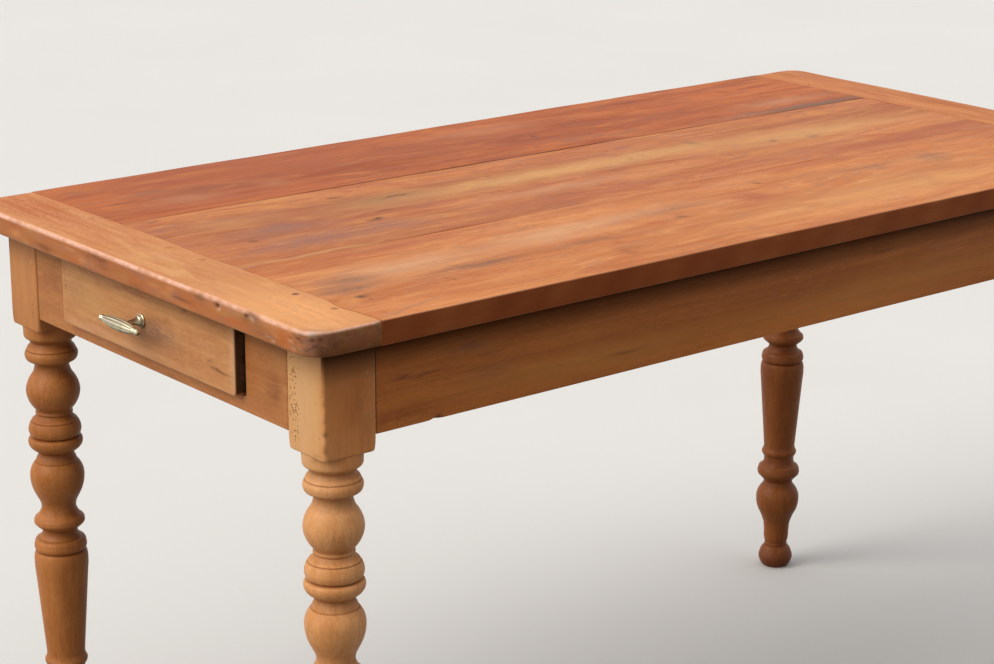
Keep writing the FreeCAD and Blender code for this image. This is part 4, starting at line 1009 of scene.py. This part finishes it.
# Long aprons between the legs
apron = {
    "arris": 1.2, "endArris": 0.4, "steps": (6.0, 2.5), "corners": (0.6,) * 4, "thick": 24.0,
    "face": leg["y"] + halfBlock - frameSetback, "low": 631.0, "high": tableTop["under"],
    "reach": leg["x"] - halfBlock, "gap": 0.15,
    # lengths, heights and seed of waves, and how far they lie below the face
    "planing": ((500, 210, 90), (0.16, 0.1, 0.05), 81), "planedBy": 0.3,
    "crackBand": 1.6, "crackFade": 1.2, "crackDepth": 0.7,
    "wander": (6.0, 0.0, 1.6), "markDepth": 30,
    "nick": (-511, 631, 4.5, 1.8),        # x, z, radius and depth of the chip in the lower edge
    "wood": {
        "grain": "X", "pith": (0, -150, 560), "ringWidth": 12.0, "light": "#cf7a36", "dark": "#ba692b",
        "ruddy": "#ab5824", "gold": "#db9048", "clouded": "#ad6a34", "streak": "#8f4d1f",
        "ruddyDepth": 0.35, "goldDepth": 0.3, "streakDepth": 0.3, "ringDepth": 0.3, "fibreDepth": 0.2,
        "shift": (0.5, 0.2, 0.1), "endGrain": "#5e351d",
        "marks": ("ochre", "red", "grey", "grime", "worn", "knot", "shade"), "ochre": "#d28c42",
        "red": "#93491e", "worn": "#c68a52",
    },
    "marks": [  # kind, x, z, size along, size up, strength
        ("grime", -530, 681, 30, 1.6, 0.8), ("grime", -556, 684, 12, 1.5, 0.6),
        ("grime", -445, 689, 12, 1.5, 0.6), ("grey", -470, 702, 22, 4, 0.5),
        ("grey", -440, 668, 30, 8, 0.25), ("ochre", -300, 655, 160, 14, 0.5),
        ("ochre", 150, 660, 200, 18, 0.4), ("red", -570, 642, 50, 8, 0.5), ("red", 30, 676, 90, 10, 0.4),
        ("grey", 560, 690, 60, 30, 0.5), ("grime", -255, 654, 30, 1.8, 0.45),
        ("grime", 160, 700, 26, 1.6, 0.5), ("knot", -511, 632, 6, 3, 0.9),
        ("knot", -505, 632, 4, 2.5, 0.8),
    ],
}
apronFinish = waxedFruitwood("waxed fruitwood apron", apron["wood"])
for name, way in (("apron_front", -1), ("apron_back", 1)):
    arris = apron["arris"]
    low = (-apron["reach"] + arris + apron["gap"], apron["low"] + arris)
    high = (apron["reach"] - arris - apron["gap"], apron["high"] - arris)
    plan = boardPlan(low, high, apron["steps"], apron["corners"])
    fall = (apron["endArris"], apron["endArris"], arris, arris)
    inner = apron["face"] - apron["thick"]
    board = boardSurface(plan, inner, apron["face"], (arris,) * 4, fall, fall, "xzy")
    points, fields = board["points"], board["fields"]
    points[:, 1] += unevenness(points * (1, 0, 1), *apron["planing"]) - apron["planedBy"]
    if way < 0:
        x, z, radius, depth = apron["nick"]
        away = ((points[:, 0] - x) / radius) ** 2 + ((points[:, 2] - z) / radius) ** 2
        points[:, 2] += depth * np.exp(-away)
        marks = [(kind, x, apron["face"], z, along, apron["markDepth"], up, strength)
                 for kind, x, z, along, up, strength in apron["marks"]]
        fields.update(markFields(points, marks, apron["wander"]))
    ends = np.clip((np.abs(points[:, 0]) - apron["reach"] + apron["crackBand"]) / apron["crackFade"], 0, 1)
    deepen(fields, "grime", ends * apron["crackDepth"])
    # painted shade under the overhang
    fields["shade"] = underTop(points[:, 2], *leg["shade"])
    points[:, 1] *= way
    makePiece(name + "_planed", board, apronFinish, "frame", name)
print("aprons made")

cloudyGrain = {"mottle": (90, 26, 4.0, 1.5), "cloud": (60, 24, 4.0, 1.6)}

# End boards, notched from above for the drawer
endBoard = {
    "arris": 1.2, "face": leg["x"] + halfBlock - frameSetback, "thick": 24.0, "half": leg["y"] - halfBlock,
    "opening": 178.5, "rail": 648.0, "low": 631.0, "high": tableTop["under"], "gap": 0.15,
    "stileLines": 30, "railLines": 90, "acrossLines": 22,
    "planing": ((260, 110, 60), (0.14, 0.08, 0.05), 91), "planedBy": 0.27,
    "shade": (698, 718, 0.45), "wander": (0.0, 6.0, 2.0),
    "wood": {
        "grain": "Y", "pith": (-760, 0, 620), "ringWidth": 8.0, "light": "#cd874d", "dark": "#b87440",
        "ruddy": "#ab6433", "gold": "#d89a5e", "clouded": "#b57c4a", "streak": "#8c5428",
        "ruddyDepth": 0.45, "goldDepth": 0.4, "streakDepth": 0.2, "fibreDepth": 0.14,
        "shift": (0.7, 0.1, 0.3), "grainMm": cloudyGrain,
        "marks": ("ochre", "red", "grime", "worn", "shade"), "worn": "#c68f5a", "ochre": "#c48b52",
        "red": "#8f5428",
    },
    "marks": [
        ("red", -650, -225, 668, 20, 18, 17, 0.75), ("ochre", -650, -240, 700, 20, 18, 16, 0.35),
        ("red", -650, 0, 638, 20, 200, 8, 0.3), ("red", -650, 215, 690, 20, 30, 14, 0.3),
    ],
}


# Plan of the notched board: one path runs down, along and up its outer edge, another likewise round the
# notch, and lines go from one to the other
def notchedPlan(low, high, half, opening, rail):
    down = np.linspace(0, 1, endBoard["stileLines"])[:, None]
    over = np.linspace(0, 1, endBoard["railLines"])[1:-1, None]
    paths = []
    for reach, floor in ((half, low), (opening, rail)):
        corners = np.array([(-reach, high), (-reach, floor), (reach, floor), (reach, high)])
        paths.append(np.vstack([
            corners[0] + (corners[1] - corners[0]) * down, corners[1] + (corners[2] - corners[1]) * over,
            corners[2] + (corners[3] - corners[2]) * down]))
    across = np.linspace(0, 1, endBoard["acrossLines"])[None, :, None]
    return paths[0][:, None] * (1 - across) + paths[1][:, None] * across


endFinish = waxedFruitwood("waxed fruitwood end board", endBoard["wood"])
for name, way in (("end_board_left", -1), ("end_board_right", 1)):
    arris = endBoard["arris"]
    plan = notchedPlan(endBoard["low"] + arris, endBoard["high"] - arris,
                       endBoard["half"] - arris - endBoard["gap"],
                       endBoard["opening"] + arris, endBoard["rail"] - arris)
    out = (arris,) * 4
    inner = endBoard["face"] - endBoard["thick"]
    board = boardSurface(plan, inner, endBoard["face"], out, out, out, "yzx")
    points, fields = board["points"], board["fields"]
    points[:, 0] += unevenness(points * (0, 1, 1), *endBoard["planing"]) - endBoard["planedBy"]
    points[:, 0] *= way
    beyond = np.abs(points[:, 1]) - endBoard["half"] + apron["crackBand"]
    ends = np.clip(beyond / apron["crackFade"], 0, 1)
    fields.update(markFields(points, endBoard["marks"], endBoard["wander"]))
    # painted shade under the overhang
    fields["shade"] = underTop(points[:, 2], *endBoard["shade"])
    deepen(fields, "grime", ends * apron["crackDepth"])
    makePiece(name + "_planed", board, endFinish, "frame", name, crease=45)
print("end boards made")

# Drawer fronts
frontLow, frontHigh = nodeBox("drawer_left_front")
drawerFront = {
    "face": -frontLow[0], "thick": frontHigh[0] - frontLow[0], "half": frontHigh[1] - 0.15,
    "low": frontLow[2], "high": frontHigh[2], "arris": 2.2, "backArris": 0.5, "steps": (3.4, 1.9),
    "cornerRadius": 2.6,
    "wide": 2.6,              # drawn wider than the solid at one edge, to close the gap there
    "planing": ((210, 90, 47), (0.16, 0.1, 0.05), 95), "planedBy": 0.32, "planedFrom": 650,
    "shade": (704, 722, 0.4), "wander": (0.0, 4.0, 1.2), "markDepth": 12,
    "wood": {
        "grain": "Y", "pith": (-700, 0, 760), "ringWidth": 7.5, "light": "#d99a62", "dark": "#c5844c",
        "ruddy": "#b86e3c", "gold": "#e4ad74", "clouded": "#bb8258", "streak": "#9c5e32",
        "ruddyDepth": 0.5, "goldDepth": 0.4, "streakDepth": 0.2, "ringDepth": 0.14, "fibreDepth": 0.14,
        "shift": (0.4, 0.6, 0.2), "grainMm": cloudyGrain,
        # its end grain, on the sides in the gaps, is near black: darker end grain and painted shade
        "endGrain": "#2f1c10", "endDepth": 0.95,
        "marks": ("ochre", "red", "pale", "grey", "grime", "worn", "knot", "shade"), "ochre": "#cf9a5e",
        "red": "#a9673f", "worn": "#d3a378",
    },
    "marks": [  # kind, y, z, size along, size up, strength
        ("ochre", 120, 690, 60, 20, 0.5), ("red", 30, 716, 60, 2.2, 0.6), ("red", -60, 665, 60, 10, 0.35),
        ("red", -110, 690, 40, 12, 0.3), ("grime", -145, 669, 18, 1.3, 0.8),
        ("grime", -132, 671, 8, 1.3, 0.6), ("grime", -125, 676, 10, 1.2, 0.5),
        # the grey blot at y -25, z 684, just below the pull, is painted shadow of the pull
        ("grime", -82, 720, 6, 2, 0.5), ("grey", 150, 695, 30, 14, 0.25), ("grey", -25, 684, 36, 14, 0.7),
        ("grey", 22, 672, 24, 9, 0.4), ("red", 90, 662, 40, 3, 0.4), ("pale", 60, 655, 120, 4, 0.35),
        ("grime", 168, 700, 2, 10, 0.3), ("pale", -168, 690, 5, 40, 0.4),
    ],
}
frontFinish = waxedFruitwood("waxed fruitwood drawer front", drawerFront["wood"])
for side, way in (("left", -1), ("right", 1)):
    arris, face = drawerFront["arris"], drawerFront["face"]
    low = (-drawerFront["half"] + arris, drawerFront["low"] + arris)
    high = (drawerFront["half"] + drawerFront["wide"] - arris, drawerFront["high"] - arris)
    plan = boardPlan(low, high, drawerFront["steps"], (drawerFront["cornerRadius"],) * 4)
    out = (arris,) * 4
    back = (drawerFront["backArris"],) * 4
    board = boardSurface(plan, face - drawerFront["thick"], face, out, out, back, "yzx")
    points, fields = board["points"], board["fields"]
    planed = unevenness(points * (0, 1, 1), *drawerFront["planing"]) - drawerFront["planedBy"]
    points[:, 0] += planed * (points[:, 0] > drawerFront["planedFrom"])
    if way < 0:
        marks = [(kind, face, y, z, drawerFront["markDepth"], along, up, strength)
                 for kind, y, z, along, up, strength in drawerFront["marks"]]
        fields.update(markFields(points, marks, drawerFront["wander"]))
    # painted shade under the overhang
    fields["shade"] = underTop(points[:, 2], *drawerFront["shade"])
    points[:, 0] *= way
    body = f"drawer_{side}"
    makePiece(f"{body}_front_worn", board, frontFinish, body, f"{body}_front")
print("drawer fronts made")


# Aged brass, cast, filed and long handled: pale gold where hands rub it, dull brown in the hollows
# from patina and on the undersides as painted shade
brassLook = {"rubbed": "#e3dabd", "patinaAndShade": "#5c4a28", "cloudMm": 9, "speckMm": 1.2}


def agedBrass(name):
    material, tree = newMaterial(name)
    coords = addNode(tree, "TexCoord").outputs["Object"]
    clouds = addNode(tree, "TexNoise", None, {
        "Vector": coords, "Scale": 1 / (brassLook["cloudMm"] * mm), "Detail": 4.0}).outputs[0]
    specks = addNode(tree, "TexNoise", None, {
        "Vector": coords, "Scale": 1 / (brassLook["speckMm"] * mm), "Detail": 3.0}).outputs[0]
    hollow = addNode(tree, "Attribute", {"attribute_name": "hollow"}).outputs["Fac"]
    patinaAndShade = addNode(tree, "MapRange", None, {
        "Value": clouds, "From Min": 0.5, "From Max": 0.8, "To Max": 0.35})
    patinaAndShade = addNode(tree, "Math", {"operation": "ADD", "use_clamp": True}, {0: patinaAndShade.outputs[0], 1: hollow})
    colour = addNode(tree, "Mix", {"data_type": "RGBA"}, {
        0: patinaAndShade.outputs[0], 6: linear(brassLook["rubbed"]), 7: linear(brassLook["patinaAndShade"])}).outputs[2]
    rough = addNode(tree, "MapRange", None, {
        "Value": specks, "From Min": 0.3, "From Max": 0.7, "To Min": 0.24, "To Max": 0.42})
    bump = addNode(tree, "Bump", None, {"Strength": 0.2, "Distance": 0.1 * mm, "Height": specks})
    shader = addNode(tree, "BsdfPrincipled", None, {
        "Base Color": colour, "Metallic": 1.0, "Roughness": rough.outputs[0], "Normal": bump.outputs[0]})
    addNode(tree, "OutputMaterial", None, {"Surface": shader.outputs[0]})
    return material


# Pulls: a ringed rose, a trumpet post and a reeded spindle with a bead at each end
pull = {
    "z": (drawerFront["low"] + drawerFront["high"]) / 2, "y": 6.0, "face": drawerFront["face"],
    "projection": 27.5, "columns": 88, "arcSteps": 8, "gripArcSteps": 10, "lineSteps": 3,
    "hollowReach": np.linspace(-1.5, 1.5, 9), "hollowDepth": 0.4,
    "below": (0.55, 0.6), "gripUnderShade": (0.3, 0.75), "valleyDull": (1.4, 0.5),  # painted shade on the undersides, patina in the valleys
    "rose": (3.2, 7.8, 1.0, [(0.25, 1.0, None), (0.55, 0.93, 0.995), (0.62, 0.86, 0.90), (0.66, 0.82, None),
                             (0.74, 0.80, 0.775), (0.90, 0.78, 0.80), (1.00, 0.74, 0.775)]),
    "post": (18.3, 5.8, 1.0, [(0.05, 1.0, 1.03), (0.10, 0.94, 1.0), (0.14, 0.84, None), (0.62, 0.51, 0.61),
                              (0.86, 0.49, 0.48), (1.00, 0.62, 0.53)]),
    "grip": (78.0, 7.2, 0.10, [
        (0.012, 0.40, 0.29), (0.034, 0.52, 0.50), (0.062, 0.38, 0.49), (0.072, 0.38, None),
        (0.082, 0.50, 0.46), (0.092, 0.47, 0.50), (0.300, 0.90, 0.72), (0.700, 0.90, 1.0),
        (0.908, 0.47, 0.72), (0.918, 0.50, 0.50), (0.928, 0.38, 0.46), (0.938, 0.38, None),
        (0.966, 0.52, 0.49), (0.988, 0.40, 0.50), (1.000, 0.10, 0.29)]),
    "reeds": 9, "reedDepth": 0.16, "reedStart": 0.10, "reedFade": 0.05, "reedRound": 0.8,
}
brass = agedBrass("aged cast brass")
turn = np.linspace(0, 2 * math.pi, pull["columns"], endpoint=False)
for side, way in (("left", -1), ("right", 1)):
    body = f"drawer_{side}"
    for label, start in (("rose", pull["face"]), ("post", pull["face"] + pull["rose"][0])):
        length, radius, startShare, shares = pull[label]
        radii, heights = turnedOutline(
            length, radius, startShare, shares, pull["arcSteps"], pull["lineSteps"])
        smooth = np.interp(heights[:, None] + pull["hollowReach"], heights, radii).mean(1)
        hollow = np.clip((smooth - radii) / pull["hollowDepth"], 0, 1)
        out = np.repeat(way * (start + heights)[:, None], len(turn), 1)
        rings = np.stack([out, pull["y"] + radii[:, None] * np.cos(turn),
                          pull["z"] + radii[:, None] * np.sin(turn)], -1)
        # darker hollows are patina; the darker lower half is painted shade
        level, depth = pull["below"]
        surface = ringSurface(rings, {"hollow": np.maximum(hollow[:, None], level - depth * np.sin(turn))})
        makePiece(f"pull_{side}_{label}_cast", surface, brass, body, f"pull_{side}_{label}")
    length, radius, startShare, shares = pull["grip"]
    radii, heights = turnedOutline(
        length, radius, startShare, shares, pull["gripArcSteps"], pull["lineSteps"])
    share = heights / length
    window = np.clip((np.minimum(share, 1 - share) - pull["reedStart"]) / pull["reedFade"], 0, 1)[:, None]
    valley = 1 - np.abs(np.sin(turn * pull["reeds"] / 2)) ** pull["reedRound"]  # sharp between round reeds
    reach = radii[:, None] * (1 - pull["reedDepth"] * window * valley)
    along = np.repeat((pull["y"] + heights - length / 2)[:, None], len(turn), 1)
    rings = np.stack([way * (pull["face"] + pull["projection"] + reach * np.cos(turn)), along,
                      pull["z"] + reach * np.sin(turn)], -1)
    # the valleys between the reeds are patina; the darker underside is painted shade
    level, depth = pull["gripUnderShade"]
    steep, shallow = pull["valleyDull"]
    patinaAndShade = np.maximum(window * (valley * steep - shallow), level - depth * np.sin(turn))
    surface = ringSurface(rings, {"hollow": np.clip(patinaAndShade, 0, 1)})
    makePiece(f"pull_{side}_grip_cast", surface, brass, body, f"pull_{side}_grip", crease=50)
print("pulls cast")


# Forged iron, blackened: dark grey brown with rust in slow patches
ironLook = {"black": "#3a3430", "rust": "#5e3a26", "cloudMm": 4}


def blackIron(name):
    material, tree = newMaterial(name)
    coords = addNode(tree, "TexCoord").outputs["Object"]
    clouds = addNode(tree, "TexNoise", None, {
        "Vector": coords, "Scale": 1 / (ironLook["cloudMm"] * mm), "Detail": 5.0}).outputs[0]
    rust = addNode(tree, "MapRange", None, {"Value": clouds, "From Min": 0.48, "From Max": 0.66}).outputs[0]
    colour = addNode(tree, "Mix", {"data_type": "RGBA"}, {
        0: rust, 6: linear(ironLook["black"]), 7: linear(ironLook["rust"])}).outputs[2]
    rough = addNode(tree, "MapRange", None, {"Value": rust, "To Min": 0.45, "To Max": 0.8})
    bump = addNode(tree, "Bump", None, {"Strength": 0.3, "Distance": 0.1 * mm, "Height": clouds})
    shader = addNode(tree, "BsdfPrincipled", None, {
        "Base Color": colour, "Metallic": 0.8, "Roughness": rough.outputs[0], "Normal": bump.outputs[0]})
    addNode(tree, "OutputMaterial", None, {"Surface": shader.outputs[0]})
    return material


# Bare wood inside, planed or sawn and never waxed: paler, drier and rougher than the outside
bareWood = {
    "drawer_boxes": {
        "grain": "X", "pith": (0, 200, 560), "ringWidth": 6.0, "light": "#d3a274", "dark": "#bf8b5c",
        "ruddy": "#b27c4e", "gold": "#deb288", "clouded": "#b38662", "streak": "#94633c",
        "streakDepth": 0.5, "fibreDepth": 0.4, "shift": (0.3, 0.3, 0.3), "endGrain": "#7d5632",
        # the sides darken near their fronts with painted shadow of the gaps
        "gloss": (0.62, 0.75), "marks": (), "gapShadeBeyond": (625, 645), "gapShade": "#2b1a0f",
    },
    "inner_frame": {
        "grain": "Y", "pith": (0, 0, 560), "ringWidth": 7.0, "light": "#a97d50", "dark": "#93683f",
        "ruddy": "#855a34", "gold": "#b88e60", "clouded": "#8a6644", "streak": "#6b4526",
        "streakDepth": 0.5, "fibreDepth": 0.5, "shift": (0.8, 0.3, 0.5), "gloss": (0.70, 0.82),
        "marks": (),
    },
}
insideFinish = {}
for slot, wood in bareWood.items():
    insideFinish[slot] = waxedFruitwood("bare planed " + slot.replace("_", " "), wood)
insideFinish["iron_fasteners"] = blackIron("blackened iron")
slotOf = {
    "drawer_boxes": ("side_front", "side_back", "back", "bottom"),
    "inner_frame": ("bearer", "runner", "guide", "top_buttons"),
    "iron_fasteners": ("nails", "screws", "stud", "nut"),
}
for name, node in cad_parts.items():
    if node.hide_render:
        continue
    slot = next(slot for slot, words in slotOf.items() if any(
        name.endswith(word) if slot != "inner_frame" else name.startswith(word) for word in words))
    for place in node.material_slots:
        place.material = insideFinish[slot]
print("inside pieces finished")

# Floor, light and camera
stage = {
    "floor": "#ebe9e6", "floorCloud": "#b5b0a8", "floorShade": "#67635e", "floorReach": 14.0,
    "sky": (0.38, "#fcfdff"), "backdrop": "#ebe9e6", "lampHeight": 3,
    # where the light comes from, how wide it is, its level on a white card that faces it, its colour
    "lamps": {
        "side window": {"from": (-0.80, 0.13, 0.57), "degrees": 50, "level": 0.66, "colour": "#fffbf4"},
        "sky light": {"from": (0.0, 0.0, 1.0), "degrees": 90, "level": 0.25, "colour": "#fffefc"},
    },
}


# Above zero for the rays that see the stage itself: from the camera, from metal and from glass
def seenRays(tree):
    rays = addNode(tree, "LightPath").outputs
    seen = addNode(tree, "Math", {"operation": "MAXIMUM"}, {
        0: rays["Is Camera Ray"], 1: rays["Is Glossy Ray"]})
    return addNode(tree, "Math", {"operation": "MAXIMUM"}, {
        0: seen.outputs[0], 1: rays["Is Transmission Ray"]}).outputs[0]


# Pale painted studio floor: pale to the eye, duller in the light it throws back at the table
floorMaterial, tree = newMaterial("pale studio floor")
coords = addNode(tree, "TexCoord").outputs["Object"]
clouds = addNode(tree, "TexNoise", None, {"Vector": coords, "Scale": 1.6, "Detail": 4.0}).outputs[0]
tint = addNode(tree, "MapRange", None, {
    "Value": clouds, "From Min": 0.3, "From Max": 0.7, "To Max": 0.05}).outputs[0]
colour = addNode(tree, "Mix", {"data_type": "RGBA"}, {
    0: tint, 6: linear(stage["floor"]), 7: linear(stage["floorCloud"])}).outputs[2]
colour = addNode(tree, "Mix", {"data_type": "RGBA"}, {
    0: seenRays(tree), 6: linear(stage["floorShade"]), 7: colour}).outputs[2]
shader = addNode(tree, "BsdfPrincipled", None, {
    "Base Color": colour, "Roughness": 0.9, "Specular IOR Level": 0.1})
addNode(tree, "OutputMaterial", None, {"Surface": shader.outputs[0]})
reach = stage["floorReach"]
floorMesh = bpy.data.meshes.new("studio_floor")
floorMesh.from_pydata([(-reach, -reach, 0), (reach, -reach, 0), (reach, reach, 0), (-reach, reach, 0)], [],
                      [(0, 1, 2, 3)])
floorMesh.materials.append(floorMaterial)
floor = bpy.data.objects.new("studio_floor", floorMesh)
bpy.context.scene.collection.objects.link(floor)

world = bpy.data.worlds.new("soft sky")
bpy.context.scene.world = world
world.use_nodes = True
world.node_tree.nodes.clear()
tree = world.node_tree
sky = addNode(tree, "Background", None, {"Color": linear(stage["sky"][1]), "Strength": stage["sky"][0]})
backdrop = addNode(tree, "Background", None, {"Color": linear(stage["backdrop"]), "Strength": 1.0})
light = addNode(tree, "MixShader", None, {0: seenRays(tree), 1: sky.outputs[0], 2: backdrop.outputs[0]})
addNode(tree, "OutputWorld", None, {"Surface": light.outputs[0]})


# Axes of something at a place that looks along a direction: its X, its Y and the reverse of the direction
def lookAxes(forward, right):
    forward = np.array(forward) / np.linalg.norm(forward)
    right = np.array(right) - forward * np.dot(forward, right)
    right /= np.linalg.norm(right)
    return np.column_stack([right, np.cross(right, forward), -forward])


def placeAt(item, place, axes):
    matrix = np.eye(4)
    matrix[:3, :3] = axes
    matrix[:3, 3] = place
    item.matrix_world = Matrix(matrix.tolist())


for name, lampLook in stage["lamps"].items():
    lamp = bpy.data.lights.new(name, "SUN")
    lamp.angle = math.radians(lampLook["degrees"])
    lamp.energy = lampLook["level"] * math.pi
    lamp.color = linear(lampLook["colour"])[:3]
    lampObject = bpy.data.objects.new(name, lamp)
    bpy.context.scene.collection.objects.link(lampObject)
    placeAt(lampObject, (0, 0, stage["lampHeight"]), lookAxes(-np.array(lampLook["from"]), (0, 1, 0)))

# The photo's view: place in metres, turns in radians, focal length in pixels of the image
shot = {
    "place": (-1.99045, -2.24301, 1.44755), "yaw": 0.6814, "pitch": 0.2895, "roll": 0.0032,
    "focalPixels": 2495.55, "imageWidth": 994, "sensor": 36.0,
}
ahead = np.array([math.sin(shot["yaw"]), math.cos(shot["yaw"]), 0.0])
forward = ahead * math.cos(shot["pitch"]) - np.array([0.0, 0.0, math.sin(shot["pitch"])])
level = np.array([math.cos(shot["yaw"]), -math.sin(shot["yaw"]), 0.0])
upward = np.cross(level, forward)
rolled = math.cos(shot["roll"]) * level + math.sin(shot["roll"]) * upward
camera = bpy.data.cameras.new("photo view")
camera.sensor_fit = "HORIZONTAL"
camera.sensor_width = shot["sensor"]
camera.lens = shot["focalPixels"] * shot["sensor"] / shot["imageWidth"]
cameraObject = bpy.data.objects.new("photo view", camera)
bpy.context.scene.collection.objects.link(cameraObject)
placeAt(cameraObject, shot["place"], lookAxes(forward, rolled))
bpy.context.scene.camera = cameraObject
bpy.context.scene.view_settings.view_transform = "Standard"
print("stage set")
